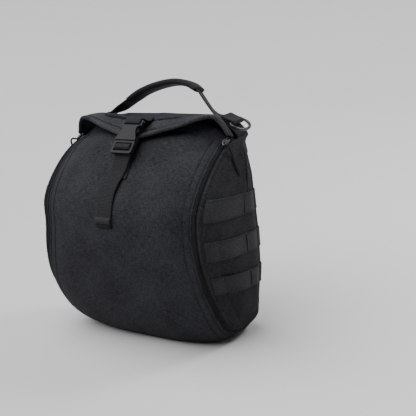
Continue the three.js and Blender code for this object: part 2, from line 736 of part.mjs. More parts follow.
function maleHalf() {
  const start = FEMALE_LENGTH + GAP;
  const base = plate(
    [
      [BUCKLE_HALF_W - 0.4, start],
      [BUCKLE_HALF_W, start + 3],
      [BUCKLE_HALF_W, BUCKLE_LENGTH - 2],
      [BUCKLE_HALF_W - 1.5, BUCKLE_LENGTH],
    ],
    5,
  );
  const upperSlot = block(SLOT_HALF, start + 3.2, start + 7, 20);
  const lowerSlot = block(SLOT_HALF, start + 10, BUCKLE_LENGTH - 3.4, 20);
  const guide = block(2.2, 14, start + 1, LATCH_T);
  const prong = (side) => {
    const shape = new THREE.Shape();
    const root = [[6, start + 1], [9.5, start + 1]];
    const points = [...root, [10.5, 22], [14, 17.5], [13, 12.5], [9.5, 12], [7, 20]];
    shape.setFromPoints(points.map(([across, down]) => new THREE.Vector2(side * across, down)));
    const geometry = new THREE.ExtrudeGeometry(shape, { depth: LATCH_T, bevelEnabled: false });
    return toSolid(geometry.translate(0, 0, -LATCH_T / 2));
  };
  const joined = base.subtract(upperSlot).subtract(lowerSlot).add(guide);
  return joined.add(prong(1)).add(prong(-1));
}
addMesh("buckle_female", toGeometry(femaleHalf()).applyMatrix4(BUCKLE_FRAME), PLASTIC());
addMesh("buckle_male", toGeometry(maleHalf()).applyMatrix4(BUCKLE_FRAME), PLASTIC());

// A strap in the buckle's middle plane, from [down, out] points of its middle line
const THIN_WEB_T = 1.2;
const TAIL_LEAN = 10; // how far the free tail hangs to the left
const tailLean = (down) => TAIL_LEAN * THREE.MathUtils.smoothstep(down, BUCKLE_LENGTH + 4, 100);
const BAR_DOWN = FEMALE_LENGTH + GAP + 8.5; // middle of the ladder bar
function buckleWeb(points, sewn = 0) {
  const lean = points.map(([down], i) => (i < sewn ? 0 : tailLean(down))); // the sewn end lies straight
  const path = points.map(([down, out], i) => vec(lean[i], down, out).applyMatrix4(BUCKLE_FRAME));
  return ribbon(path, vec(1, 0, 0), WEB_W, THIN_WEB_T);
}

// Half a turn of a strap round a bar, between two angles in the buckle's side view
function wrap(down, out, radius, fromDeg, toDeg, steps = 6) {
  return Array.from({ length: steps + 1 }, (_, i) => {
    const turn = rad(lerp(fromDeg, toDeg, i / steps));
    return [down + radius * Math.cos(turn), out + radius * Math.sin(turn)];
  });
}

// The middle line of a surface under the straps, as places [down, out] raised off it
function surfaceUnder(points) {
  const toBuckle = BUCKLE_FRAME.clone().invert();
  const line = points.map((p) => p.clone().applyMatrix4(toBuckle));
  return (down, rise) => {
    const next = line.findIndex((p) => p.y >= down);
    const [a, b] = [line[next - 1], line[next]];
    const slope = (b.z - a.z) / (b.y - a.y);
    return [down, a.z + slope * (down - a.y) + rise * Math.hypot(1, slope)];
  };
}
const middleOf = (row) => row[(row.length - 1) / 2];
const onPanel = surfaceUnder(FRONT.map((station) => middleOf(panelRow(station, PANEL_END))));
const onFlap = surfaceUnder(flapRows().map(middleOf));
const FIRST_LAYER = THIN_WEB_T / 2 + 2.5 * GAP;
const SECOND_LAYER = FIRST_LAYER + THIN_WEB_T + 1.5 * GAP;

// The front strap: sewn to the panel, up through the ladder lock, over its bar, and down as a free
// tail with a folded end
const TAIL_END = 134;
const SEWN_POINTS = 3;
const frontStrap = [
  onPanel(78, FIRST_LAYER),
  onPanel(72, FIRST_LAYER),
  onPanel(66, FIRST_LAYER),
  [57, -8.6],
  [BUCKLE_LENGTH, -5.9],
  [BUCKLE_LENGTH - 6, -5],
  [BAR_DOWN + 1, -4.1],
  ...wrap(BAR_DOWN, 0, 4, -112, -250, 6),
  [BAR_DOWN + 2.6, 3.4],
  [BAR_DOWN + 4.4, 0],
  [BUCKLE_LENGTH - 4.7, -3.3],
  [BUCKLE_LENGTH - 2.5, -3.9],
  [BUCKLE_LENGTH + 2, -4.4],
  [60, -6.6],
  onPanel(68, SECOND_LAYER + 0.8),
  onPanel(76, SECOND_LAYER),
  onPanel(86, SECOND_LAYER),
  onPanel(98, SECOND_LAYER),
  onPanel(111, SECOND_LAYER),
  onPanel(123, SECOND_LAYER),
  onPanel(TAIL_END, SECOND_LAYER + 0.6),
  onPanel(TAIL_END + 1.6, SECOND_LAYER - 0.6),
  onPanel(TAIL_END + 1, FIRST_LAYER),
  onPanel(TAIL_END - 3, FIRST_LAYER),
  onPanel(TAIL_END - 9, FIRST_LAYER),
];
addMesh("buckle_strap", buckleWeb(frontStrap, SEWN_POINTS), WEBBING());

// The short strap on the flap: round the bar of the buckle's upper half and back on itself
const flapStrap = [
  onFlap(-22, FIRST_LAYER),
  onFlap(-14, FIRST_LAYER),
  onFlap(-7, FIRST_LAYER),
  [-1, -5.6],
  [1.5, -3.8],
  [4.2, -3.4],
  [5.8, -1.6],
  [6, 1.2],
  [5, 3.1],
  [3.2, 3.7],
  [0.5, 3.7],
  [-2, 2.7],
  onFlap(-9, SECOND_LAYER + 0.8),
  onFlap(-14, SECOND_LAYER),
  onFlap(-22, SECOND_LAYER),
];
addMesh("flap_strap", buckleWeb(flapStrap), WEBBING());

// The origin goes to the middle of the bag's base
const middle = new THREE.Box3().setFromObject(bag).getCenter(vec(0, 0, 0));
bag.position.set(-middle.x, -middle.y, 0);
export default bag;
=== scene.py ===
import math

import bpy
import numpy as np
from mathutils import Matrix, Vector, noise
from mathutils.bvhtree import BVHTree


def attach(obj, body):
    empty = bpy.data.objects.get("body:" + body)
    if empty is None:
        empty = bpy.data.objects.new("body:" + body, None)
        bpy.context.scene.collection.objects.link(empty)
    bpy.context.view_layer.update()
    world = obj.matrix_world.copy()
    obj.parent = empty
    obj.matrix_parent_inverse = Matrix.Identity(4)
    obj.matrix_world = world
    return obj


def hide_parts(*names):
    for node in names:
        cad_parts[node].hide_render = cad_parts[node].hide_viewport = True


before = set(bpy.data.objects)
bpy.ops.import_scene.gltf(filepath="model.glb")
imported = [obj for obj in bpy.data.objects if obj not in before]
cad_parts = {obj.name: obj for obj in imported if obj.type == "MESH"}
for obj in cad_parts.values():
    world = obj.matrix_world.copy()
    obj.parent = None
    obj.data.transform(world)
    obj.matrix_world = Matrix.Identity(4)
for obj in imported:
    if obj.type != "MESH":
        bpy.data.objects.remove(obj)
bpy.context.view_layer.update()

MM = 0.001  # metres

# The bag's tables, in millimetres, as its solids are made: x from the middle of the front panel
ORIGIN = np.array([11.4194, -0.3853, 0.0])  # moves the tables into the part's frame
ZIP_X = 117
DOME_X, DOME_Y, DOME_Z, DOME_POWER = 139, 12, 136, 3.5
CROWN_POWER = 3
BACK_R = 24
HEM_R = 3
BACK_Y = 78
BACK_TOP = 289
GUSSET_TOP_BACK = 266
PANEL_T = 4
GUSSET_T = 3.5
FLAP_T = 2.2
WEB_T = 1.5
WEB_W = 25
THIN_WEB_T = 1.2
GAP = 0.4
ZIP_HALF = 3.3
SEAM = 0.7

# Zip line in side view: y, z, radius of the rounding, the zip's angle on it, crown of the panel
SKIN = np.array([
    (25, 266, 24, 30, 14),
    (2, 254, 24, 25, 17),
    (-24, 234, 24, 21, 15),
    (-44, 213, 24, 18, 13),
    (-57, 192, 24, 17, 12),
    (-61, 170, 24, 18, 12),
    (-59, 137, 26, 24, 13),
    (-46, 93, 32, 40, 13),
    (-32, 63, 38, 50, 12),
    (-18, 38, 40, 54, 11),
    (-2, 20, 36, 55, 12),
    (20, 13, 28, 54, 12),
    (52, 13, 24, 52, 8),
    (66, 21, 24, 46, 2),
    (72.4, 40, 24, 40, 0),
    (72.4, 44, 24, 40, 0),
], float)
BACK_DEG = SKIN[-1, 3]
FOOT_Z = SKIN[-1, 1]

# Half width along the back edge: z, x
BACK_EDGE = np.array([(44, 125.6), (90, 132), (138, 133), (218, 129), (266, 120), (280, 110), (289, 100)])

# Flap rows from the seam to the hem: middle (y, z), upper corner (x, y, z), wing tip (x, y, z)
FLAP = [
    ((70, 292), (78, 70, 289), (82, 70, 287)),
    ((50, 295.5), (83, 52, 290.5), (98, 48, 276)),
    ((27, 293.5), (98, 36, 297), (118, 40, 271.5)),
    ((4, 285), (102, 28, 298.5), (123, 34, 271.5)),
    ((-17, 274), (104, 18, 298), (122, 24, 274.5)),
]
LEFT_DROOP = 4
LEFT_WING_DROP = (0, 3, 2.5, 2, 0.5)  # the left wing's lower edge rests on the gusset

# Load webbing rows: height at the front end and at the back end
ROWS = [(196, 184), (147, 133), (98, 83)]
ROW_FRONT = 6.6
ROW_BACK_Y = 66
ROW_TACKS = (0.02, 0.6, 0.86, 0.985)  # where a row is bar-tacked, from its front end to its back

GRIP = [(-44, 48, 313), (-23, 50, 324), (7, 51.5, 333), (33, 52, 336), (54, 51, 332.5), (66, 50, 326)]
GRIP_W, GRIP_T = 25, 8.5
STRAP_Y = 60
STRAP_SHOULDER = [(82, 296), (95, 290.7), (107, 283), (117, 274)]
STRAP_SEWN_Z = (262, 253, 244)

RING_WIRE_R = 1.6
RING_BOW_MORE = 0.4  # the bow's wire is a little thicker than its bar
RING_BAR = 28
RING_DEPTH = 17
RING_CORNER_R = 3
RING_HINGE = np.array([112.5, STRAP_Y, 284.6])  # middle of the right ring's bar
RING_DROOP_DEG = 33
TAB_SLOPE_DEG = 44

BUCKLE_Y, BUCKLE_Z = -4.7, 295.3
BUCKLE_TILT_DEG = 45
FEMALE_LENGTH = 31
BUCKLE_LENGTH = 50
BAR_DOWN = FEMALE_LENGTH + GAP + 8.5
TAIL_LEAN = 10
TAIL_END = 134

SAG_SHARE, SAG_OUT, SAG_Z, SAG_REACH, SAG_FRONT_Y = 0.17, 10, 55, 120, -10
FULL_SHARE, FULL_TOP = 0.05, 275
SHOULDER_SHARE, SHOULDER_Z, SHOULDER_REACH = 0.035, 225, 70
MIDDLE = np.array([0.0, 10.0, 140.0])  # a point inside the bag


# Small helpers

def smoothstep(value, low, high):
    t = np.clip((value - low) / (high - low), 0, 1)
    return t * t * (3 - 2 * t)


def bell(value, width):
    return np.exp(-(value / width) ** 2)


def lerp(a, b, share):
    return a + (b - a) * share


def unit(v):
    v = np.asarray(v, float)
    return v / np.maximum(np.linalg.norm(v, axis=-1, keepdims=True), 1e-9)


def catmull(points, count):
    """count + 1 points of a centripetal Catmull-Rom curve through the given ones."""
    p = np.asarray(points, float)
    first = 2 * p[0] - p[1]
    last = 2 * p[-1] - p[-2]
    q = np.vstack([first, p, last])
    out = []
    for t in np.linspace(0, len(p) - 1, count + 1):
        i = min(int(t), len(p) - 2)
        w = t - i
        a, b, c, d = q[i:i + 4]
        steps = [max(np.linalg.norm(v), 1e-6) ** 0.5 for v in (b - a, c - b, d - c)]
        lead = ((b - a) / steps[0] - (c - a) / (steps[0] + steps[1]) + (c - b) / steps[1]) * steps[1]
        tail = ((c - b) / steps[1] - (d - b) / (steps[1] + steps[2]) + (d - c) / steps[2]) * steps[1]
        cubic = 2 * b - 2 * c + lead + tail
        square = -3 * b + 3 * c - 2 * lead - tail
        out.append(b + lead * w + square * w * w + cubic * w ** 3)
    return np.array(out)


def lengths(path):
    """Distance along a path at each of its points."""
    steps = np.linalg.norm(np.diff(path, axis=0), axis=1)
    return np.concatenate([[0], np.cumsum(steps)])


def respace(path, at):
    """Points of a path at the given distances along it."""
    run = lengths(path)
    return np.stack([np.interp(at, run, path[:, k]) for k in range(path.shape[1])], -1)


def even(path, count):
    return respace(path, np.linspace(0, lengths(path)[-1], count))


def sag(points):
    """The filled bag sags to its lower left, and its left half is fuller at every height."""
    p = np.array(points, float)
    x, y, z = p[..., 0], p[..., 1], p[..., 2]
    rise = np.minimum(1, np.abs(z - SAG_Z) / SAG_REACH)
    front = 1 - smoothstep(y, SAG_FRONT_Y, BACK_Y - 8)
    left = front * smoothstep(-x, 0, ZIP_X)
    amount = (1 - rise ** 2) ** 2 * left
    high = np.minimum(1, np.abs(z - SHOULDER_Z) / SHOULDER_REACH)
    below = 1 - smoothstep(z, FULL_TOP - 17, FULL_TOP)
    full = (FULL_SHARE * below + SHOULDER_SHARE * (1 - high ** 2) ** 2) * left
    p[..., 0] = x * (1 + SAG_SHARE * amount + full)
    p[..., 1] = y - SAG_OUT * amount
    return p


def place(points):
    """From the tables' millimetres to the part's frame in metres."""
    return (sag(points) + ORIGIN) * MM


def mirrored(points):
    return np.asarray(points, float) * (-1, 1, 1)


def both_sides(build):
    """Calls build(side name, function from the tables to the part's frame) for the right and the left."""
    return {
        "right": build("right", place),
        "left": build("left", lambda p: place(mirrored(p))),
    }


def ellipse(x, y, wide, high, degs):
    turns = np.radians(degs)
    return np.stack([x + wide * np.cos(turns), y + high * np.sin(turns)], -1)


def boxy(value, power):
    """A sine or cosine drawn towards 1 and -1, for a round with flattened sides."""
    return np.copysign(np.abs(value) ** power, value)


def grain(points, scale, seed):
    """Smooth noise, about -0.5 to 0.5, at each of the points."""
    flat = np.asarray(points, float).reshape(-1, 3) / scale
    shift = Vector((seed, seed * 1.7, -seed))
    values = [noise.noise(Vector(p) + shift) for p in flat]
    return np.array(values).reshape(np.asarray(points).shape[:-1])


# Meshes

def grid_normals(p, inside):
    """Normals of a grid of points, away from a point inside."""
    n = unit(np.cross(np.gradient(p, axis=0), np.gradient(p, axis=1)))
    middle = np.median(np.sum(n * (p - inside), axis=-1))
    return n if middle > 0 else -n


def new_object(name, points, faces, material, uvs=None):
    """A smooth shaded mesh object; uvs are given per point."""
    mesh = bpy.data.meshes.new(name)
    mesh.from_pydata([tuple(p) for p in points], [], [tuple(f) for f in faces])
    if uvs is not None:
        layer = mesh.uv_layers.new(name="cloth")
        index = np.zeros(len(mesh.loops), int)
        mesh.loops.foreach_get("vertex_index", index)
        layer.data.foreach_set("uv", np.asarray(uvs, np.float32)[index].ravel())
    mesh.polygons.foreach_set("use_smooth", [True] * len(mesh.polygons))
    mesh.update()
    obj = bpy.data.objects.new(name, mesh)
    bpy.context.scene.collection.objects.link(obj)
    obj.data.materials.append(material)
    return obj


def outward(points, faces):
    """Faces turned so that the closed body's volume is positive."""
    p = np.asarray(points)
    total = 0.0
    for f in faces:
        for k in range(1, len(f) - 1):
            total += np.dot(p[f[0]], np.cross(p[f[k]], p[f[k + 1]]))
    return faces if total > 0 else [tuple(reversed(f)) for f in faces]


def quads(rows, columns, closed=False):
    """Faces of a grid of points given row by row; closed joins the last column to the first."""
    faces = []
    for r in range(rows - 1):
        for c in range(columns if closed else columns - 1):
            d = (c + 1) % columns
            faces.append((r * columns + c, r * columns + d, (r + 1) * columns + d, (r + 1) * columns + c))
    return faces


def tube_faces(rows, sides, closed=False):
    """Faces of a tube of points given ring by ring, joined to its start or with its two ends."""
    last = (rows - 1) * sides
    faces = quads(rows, sides, True)
    if closed:
        return faces + [(last + s, last + (s + 1) % sides, (s + 1) % sides, s) for s in range(sides)]
    return faces + [tuple(reversed(range(sides))), tuple(range(last, last + sides))]


def grid_uv(p):
    """Distances over a grid in metres: across from its middle, along from its first row."""
    across = np.linalg.norm(np.diff(p, axis=1), axis=2).mean(0)
    along = np.linalg.norm(np.diff(p, axis=0), axis=2).mean(1)
    u = np.concatenate([[0], np.cumsum(across)])
    v = np.concatenate([[0], np.cumsum(along)])
    u, v = np.meshgrid(u - u[-1] / 2, v)
    return np.stack([u, v], -1)


def cloth(name, outer, thickness, material, puff=0.0, inside=MIDDLE):
    """A closed sheet of cloth with a rounded edge: outer is a grid in metres, the rest in millimetres."""
    rows, columns = outer.shape[:2]
    n = grid_normals(outer, place(inside))
    outer = outer + n * np.asarray(puff)[..., None] * MM
    inner = outer - n * thickness * MM
    count = rows * columns
    points = list(outer.reshape(-1, 3)) + list(inner.reshape(-1, 3))
    uv = grid_uv(outer).reshape(-1, 2)
    uvs = list(uv) + list(uv)
    faces = quads(rows, columns)
    faces += [tuple(i + count for i in reversed(f)) for f in quads(rows, columns)]
    ring = [(0, c) for c in range(columns)]
    ring += [(r, columns - 1) for r in range(1, rows)]
    ring += [(rows - 1, c) for c in range(columns - 2, -1, -1)]
    ring += [(r, 0) for r in range(rows - 2, 0, -1)]
    edge = len(points)
    for r, c in ring:
        back = outer[min(max(r, 1), rows - 2), min(max(c, 1), columns - 2)]
        away = unit(outer[r, c] - back)
        points.append((outer[r, c] + inner[r, c]) / 2 + away * thickness * 0.35 * MM)
        uvs.append(uv[r * columns + c])
    for k, (r, c) in enumerate(ring):
        r2, c2 = ring[(k + 1) % len(ring)]
        a, b = r * columns + c, r2 * columns + c2
        e, f = edge + k, edge + (k + 1) % len(ring)
        faces.append((a, e, f, b))
        faces.append((e, a + count, b + count, f))
    return new_object(name, points, outward(points, faces), material, uvs)


def swept(path, side, up, wide, high, girth):
    """Points and uvs of a body along a path, ring by ring: each point's place along side and up."""
    points = path[:, None] + side[:, None] * wide[..., None] + up[:, None] * high[..., None]
    run = np.broadcast_to(lengths(path)[:, None], girth.shape)
    return points.reshape(-1, 3), np.stack([girth, run], -1).reshape(-1, 2)


def tube_mesh(path, radius, sides, up=(0, 0, 1), closed=False):
    """Points, faces and uvs of a tube along a path in metres; radius, in millimetres, may vary."""
    path = np.asarray(path, float)
    if closed:
        along = unit(np.roll(path, -1, 0) - np.roll(path, 1, 0))
    else:
        along = unit(np.gradient(path, axis=0))
    side = unit(np.cross(along, up))
    rise = np.cross(side, along)
    radius = np.broadcast_to(radius, (len(path),))[:, None] * MM
    turns = 2 * math.pi * np.arange(sides) / sides
    points, uvs = swept(path, side, rise, radius * np.cos(turns), radius * np.sin(turns), radius * turns)
    return points, tube_faces(len(path), sides, closed), uvs


def joined(name, parts, material):
    """One object from several (points, faces, uvs)."""
    points, faces, uvs = [], [], []
    for part_points, part_faces, part_uvs in parts:
        base = len(points)
        points += list(part_points)
        uvs += list(part_uvs)
        faces += [tuple(i + base for i in f) for f in outward(part_points, part_faces)]
    return new_object(name, points, faces, material, uvs)


def strap(name, path, across, width, thickness, material, columns=9):
    """Flat webbing along a path in metres; across and width are one value or one for each point."""
    path = np.asarray(path, float)
    across = unit(np.broadcast_to(across, path.shape))
    up = unit(np.cross(unit(np.gradient(path, axis=0)), across))
    share = np.linspace(-1, 1, columns)
    edge = 1 - 0.45 * np.maximum(0, (np.abs(share) - 0.86) / 0.14) ** 2
    width = np.broadcast_to(width, (len(path),))[:, None] * MM
    wide = np.concatenate([share, share[::-1]]) / 2 * width
    high = np.concatenate([edge, -edge[::-1]]) * thickness / 2 * MM
    points, uvs = swept(path, across, up, wide, high, wide)
    faces = outward(points, tube_faces(*wide.shape))
    return new_object(name, points, faces, material, uvs)


STITCH_PITCH = 3.4
STITCH_LENGTH = 2.4


def stitch_row(path, normals, radius=0.42, lift=0.1):
    """Short sewn stitches along a path in metres, as parts for joined(); radius and lift in millimetres."""
    run = lengths(path) / MM
    dip = radius * np.array([-0.6, 0.35, 0.35, -0.6])[:, None]
    parts = []
    for start in np.arange(STITCH_PITCH * 0.5, run[-1] - STITCH_PITCH, STITCH_PITCH):
        spots = respace(path, (start + np.array([0, 0.25, 0.75, 1]) * STITCH_LENGTH) * MM)
        up = unit(normals[np.searchsorted(run, start)])
        parts.append(tube_mesh(spots + up * (lift + dip) * MM, radius, 5, up))
    return parts


# Materials: all from nodes, with cloth patterns in real size from the uv map

class Net:
    """A material and its nodes: each method adds a node and gives its output."""

    def __init__(self, name, color, roughness, metallic=0.0):
        self.material = bpy.data.materials.new(name)
        self.material.use_nodes = True
        self.nodes = self.material.node_tree.nodes
        self.link = self.material.node_tree.links.new
        self.shader = self.nodes["Principled BSDF"].inputs
        self.shader["Base Color"].default_value = (*color, 1)
        self.shader["Roughness"].default_value = roughness
        self.shader["Metallic"].default_value = metallic

    def calc(self, kind, *values):
        node = self.nodes.new("ShaderNodeMath")
        node.operation = kind
        for socket, value in zip(node.inputs, values):
            if isinstance(value, (int, float)):
                socket.default_value = value
            else:
                self.link(value, socket)
        return node.outputs[0]

    def noise(self, vector, scale, detail):
        node = self.nodes.new("ShaderNodeTexNoise")
        node.inputs["Scale"].default_value = scale
        node.inputs["Detail"].default_value = detail
        self.link(vector, node.inputs["Vector"])
        return node.outputs["Fac"]

    def ramp(self, value, low, high, dark, light):
        node = self.nodes.new("ShaderNodeValToRGB")
        for element, position, color in zip(node.color_ramp.elements, (low, high), (dark, light)):
            element.position = position
            element.color = (*color, 1)
        self.link(value, node.inputs["Fac"])
        return node.outputs["Color"]

    def bump(self, height, distance, strength, before=None):
        node = self.nodes.new("ShaderNodeBump")
        node.inputs["Distance"].default_value = distance
        node.inputs["Strength"].default_value = strength
        self.link(height, node.inputs["Height"])
        if before is not None:
            self.link(before, node.inputs["Normal"])
        return node.outputs["Normal"]

    def times(self, color, shade):
        node = self.nodes.new("ShaderNodeMix")
        node.data_type = "RGBA"
        node.blend_type = "MULTIPLY"
        node.inputs[0].default_value = 1.0
        self.link(color, node.inputs[6])
        self.link(shade, node.inputs[7])
        return node.outputs[2]

    def uv(self):
        """The cloth's uv map, in metres, whole and split into its two ways."""
        uv = self.nodes.new("ShaderNodeUVMap")
        uv.uv_map = "cloth"
        split = self.nodes.new("ShaderNodeSeparateXYZ")
        self.link(uv.outputs["UV"], split.inputs[0])
        return uv.outputs["UV"], split.outputs["X"], split.outputs["Y"]

    def wave(self, value, pitch):
        return self.calc("SINE", self.calc("MULTIPLY", value, 2 * math.pi / pitch))

    def slubs(self, uv):
        """Uneven yarns: noise drawn out along the weft, and noise drawn out along the warp."""
        drawn = []
        for stretch in ((160, 620, 1), (620, 160, 1)):
            mapping = self.nodes.new("ShaderNodeMapping")
            mapping.inputs["Scale"].default_value = stretch
            self.link(uv, mapping.inputs["Vector"])
            drawn.append(self.noise(mapping.outputs["Vector"], 1.0, 2.0))
        return self.calc("MULTIPLY_ADD", drawn[1], 0.5, self.calc("MULTIPLY", drawn[0], 0.5))

    def done(self, color, normal, values):
        """The finished material, from its colour, its normal and other values of the shader."""
        self.link(color, self.shader["Base Color"])
        self.link(normal, self.shader["Normal"])
        for name, value in values.items():
            self.shader[name].default_value = value
        return self.material


def woven(name, dark, light, pitch, band=None):
    """Plain weave of thick yarn: a chequer of raised yarns, mottled in colour.

    band gives a distance along the cloth and the shade that its colour takes before it.
    """
    net = Net(name, light, 0.82)
    uv, u, v = net.uv()
    check = net.calc("MULTIPLY", net.wave(u, pitch * 2), net.wave(v, pitch * 2))
    height = net.calc("MULTIPLY_ADD", check, 0.5, 0.5)
    speckle = net.noise(uv, 900, 2.0)
    yarn = net.calc("MULTIPLY_ADD", net.slubs(uv), 0.5, net.calc("MULTIPLY", speckle, 0.3))
    tone = net.calc("MULTIPLY_ADD", net.noise(uv, 22, 4.0), 0.2, yarn)
    color = net.ramp(tone, 0.4, 0.6, dark, light)
    if band is not None:
        distance, shade = band
        share = net.calc("MULTIPLY", v, 0.5 / distance)
        color = net.times(color, net.ramp(share, 0.46, 0.52, shade, (1, 1, 1)))
    normal = net.bump(speckle, 0.0004, 0.22, net.bump(height, 0.0003, 0.5))
    values = {"Sheen Weight": 0.01, "Sheen Roughness": 0.45, "Specular IOR Level": 0.05}
    return net.done(color, normal, values)


def ribbed(name, dark, light, pitch):
    """Webbing: ribs across its length, and finer yarns along it."""
    net = Net(name, light, 0.6)
    uv, u, v = net.uv()
    yarns = net.calc("MULTIPLY", net.wave(u, pitch * 1.3), 0.3)
    height = net.calc("MULTIPLY_ADD", net.wave(v, pitch), 0.5, yarns)
    tone = net.calc("MULTIPLY_ADD", height, 0.16, net.noise(uv, 700, 2.0))
    color = net.ramp(tone, 0.36, 0.66, dark, light)
    values = {"Sheen Weight": 0.01, "Specular IOR Level": 0.08}
    return net.done(color, net.bump(height, 0.0004, 0.8), values)


def moulded(name, dark, light, roughness, metallic, specular):
    """Moulded plastic or coated metal: slight mottling, fine grain, uneven gloss."""
    net = Net(name, light, roughness, metallic)
    where = net.nodes.new("ShaderNodeTexCoord").outputs["Object"]
    clouds = net.noise(where, 90, 4.0)
    color = net.ramp(clouds, 0.35, 0.65, dark, light)
    net.link(net.calc("MULTIPLY_ADD", clouds, 0.25, roughness - 0.12), net.shader["Roughness"])
    grains = net.bump(net.noise(where, 3200, 2.0), 0.0002, 0.15)
    return net.done(color, grains, {"Specular IOR Level": specular})


FABRIC = woven("fabric", (0.0116, 0.0119, 0.0139), (0.0385, 0.0392, 0.0447), 0.0009)
SIDE_CLOTH = woven("side_cloth", (0.0095, 0.0097, 0.0110), (0.0320, 0.0326, 0.0362), 0.0009)
FOLD_DISTANCE = 0.056
FOLD_SHADE = (0.64, 0.70, 0.82)
FLAP_CLOTH = woven(
    "flap_cloth",
    (0.0168, 0.0172, 0.0191),
    (0.0546, 0.0558, 0.0610),
    0.0009,
    band=(FOLD_DISTANCE, FOLD_SHADE),
)
WEBBING = ribbed("webbing", (0.0110, 0.0112, 0.0123), (0.0255, 0.0260, 0.0284), 0.0018)
# row_webbing is also the buckle strap hem's lighter webbing, a painted highlight
ROW_WEBBING = ribbed("row_webbing", (0.0155, 0.0158, 0.0172), (0.0360, 0.0367, 0.0398), 0.0018)
# pull_ribbon is also the dark strip below the buckle strap's end, a painted shadow
PULL_RIBBON = ribbed("pull_ribbon", (0.0060, 0.0062, 0.0068), (0.0140, 0.0144, 0.0156), 0.0012)
TAPE = ribbed("zip_tape", (0.0120, 0.0123, 0.0136), (0.0270, 0.0277, 0.0306), 0.0009)
THREAD = moulded("thread", (0.018, 0.0184, 0.0204), (0.038, 0.0388, 0.0425), 0.75, 0.0, 0.1)
PLASTIC = moulded("plastic", (0.008, 0.0083, 0.0092), (0.014, 0.0145, 0.0160), 0.32, 0.0, 0.10)
METAL = moulded("coated_metal", (0.020, 0.0208, 0.0220), (0.050, 0.0515, 0.0540), 0.28, 0.5, 0.4)
COIL = moulded("zip_coil", (0.0090, 0.0093, 0.0102), (0.0180, 0.0185, 0.0206), 0.6, 0.0, 0.15)


# Body: stations along the zip line and points across them

def stations(base, out, **values):
    """Stations along a panel's edge: out and the values are given once or for each of them."""
    n = len(base)
    made = {key: np.broadcast_to(np.asarray(value, float), (n,)) for key, value in values.items()}
    return {"base": base, "out": np.broadcast_to(out, (n, 2)), **made}


def skin_stations(count):
    y, z, rounds, degs, crowns = SKIN.T
    columns = [catmull(np.stack([column, y, z], -1), count) for column in (crowns, degs, rounds)]
    crown, deg, round_ = [column[:, 0] for column in columns]
    line = columns[0][:, 1:]
    step = unit(np.gradient(line, axis=0))
    out = np.stack([step[:, 1], -step[:, 0]], -1)
    rise = round_ * (1 - np.cos(np.radians(deg)))
    return stations(
        line + out * rise[:, None],
        out,
        round=round_,
        deg=deg,
        crown=crown,
        power=CROWN_POWER,
        x=ZIP_X + round_ * (1 - np.sin(np.radians(deg))),
    )


def back_stations(heights):
    return stations(
        np.stack([np.full(len(heights), BACK_Y), heights], -1),
        (1.0, 0.0),
        round=BACK_R,
        deg=BACK_DEG,
        crown=0,
        power=CROWN_POWER,
        x=np.interp(heights, BACK_EDGE[:, 0], BACK_EDGE[:, 1]),
    )


def collar_stations(front, reach, count):
    """The panel's soft collar, tucked under the flap: from its far edge down to the zip's top end."""
    share = np.linspace(1, 0, count + 1)[:-1]
    out = front["out"][0]
    back = np.array([out[1], -out[0]])
    return stations(
        front["base"][0] + back * (reach * share)[:, None],
        out,
        round=front["round"][0],
        deg=front["deg"][0],
        crown=front["crown"][0] + 1.5 * share,
        power=CROWN_POWER + 4 * share,
        x=front["x"][0] - 5 * share,
        turn=48 * smoothstep(reach * share, 1, 7),
    )


def corner(st, deg, lift=0.0):
    """Points on the stations' rounding, deg from the panel's face towards the gusset's."""
    turn = np.radians(deg)
    radius = st["round"] + lift
    inset = radius * np.cos(turn) - st["round"]
    side = st["base"] + st["out"] * inset[:, None]
    return np.column_stack([st["x"] - st["round"] + radius * np.sin(turn), side])


def arc_deg(st, arc):
    return st["deg"] + np.degrees(arc / st["round"])


def beside_zip(arc, lift=0.0):
    """The front's zip line, moved round the corner by an arc and lifted."""
    return corner(FRONT, arc_deg(FRONT, arc), lift)


FRONT = skin_stations(34 * 5)  # five times as many as the solids have
EDGE_STEPS = np.linspace(0, 17, 22)  # distances from a panel's edge, close together for its hem
INNER_SHARES = np.linspace(0, 1, 27)[1:]


def panel_points(st, end_arc):
    """A fine grid over a panel, from its left edge to its right one, with each point's edge distance."""
    end = arc_deg(st, end_arc) + st.get("turn", 0)
    flat_x = st["x"] - st["round"]
    slope = np.degrees(np.arctan(CROWN_POWER * st["crown"] / flat_x))
    leave = np.minimum(0.8 * slope, 0.5 * end)
    start = corner(st, leave)
    shares = np.linspace(0, 1, 120)
    coarse = []
    for share in shares:
        rise = st["crown"] * (1 - share ** st["power"])
        p = start.copy()
        p[:, 0] *= share
        p[:, 1:] += st["out"] * rise[:, None]
        p[:, 2] = np.maximum(0, p[:, 2])
        coarse.append(p)
    for share in np.linspace(0, 1, 30)[1:]:
        coarse.append(corner(st, lerp(leave, end, share)))
    coarse = np.stack(coarse, 1)
    rows = []
    edge = []
    for line in coarse:
        line = line[::-1]
        total = lengths(line)[-1]
        at = np.concatenate([EDGE_STEPS, lerp(EDGE_STEPS[-1], total, INNER_SHARES)])
        half = respace(line, at)
        rows.append(np.vstack([mirrored(half), half[::-1][1:]]))
        edge.append(np.concatenate([at, at[::-1][1:]]))
    return np.array(rows), np.array(edge)


EDGE_SEAM = 2.6  # the sewn line next to a panel's edge
PANEL_PUFF = 0.9


def hem_relief(edge, band, depth):
    """Millimetres up or down by the distance from an edge: two sewn lines press a hem flat."""
    lines = sum(bell(edge - at, 0.9) for at in (EDGE_SEAM, band))
    puff = PANEL_PUFF * smoothstep(edge, band, band + 14)
    return puff - depth * lines


FRONT_HEM = 11.5
BACK_HEM = 7
COLLAR = 14
collar_grid, collar_edge = panel_points(collar_stations(FRONT, COLLAR, 14), -ZIP_HALF - SEAM)
front_grid, front_edge = panel_points(FRONT, -ZIP_HALF - SEAM)


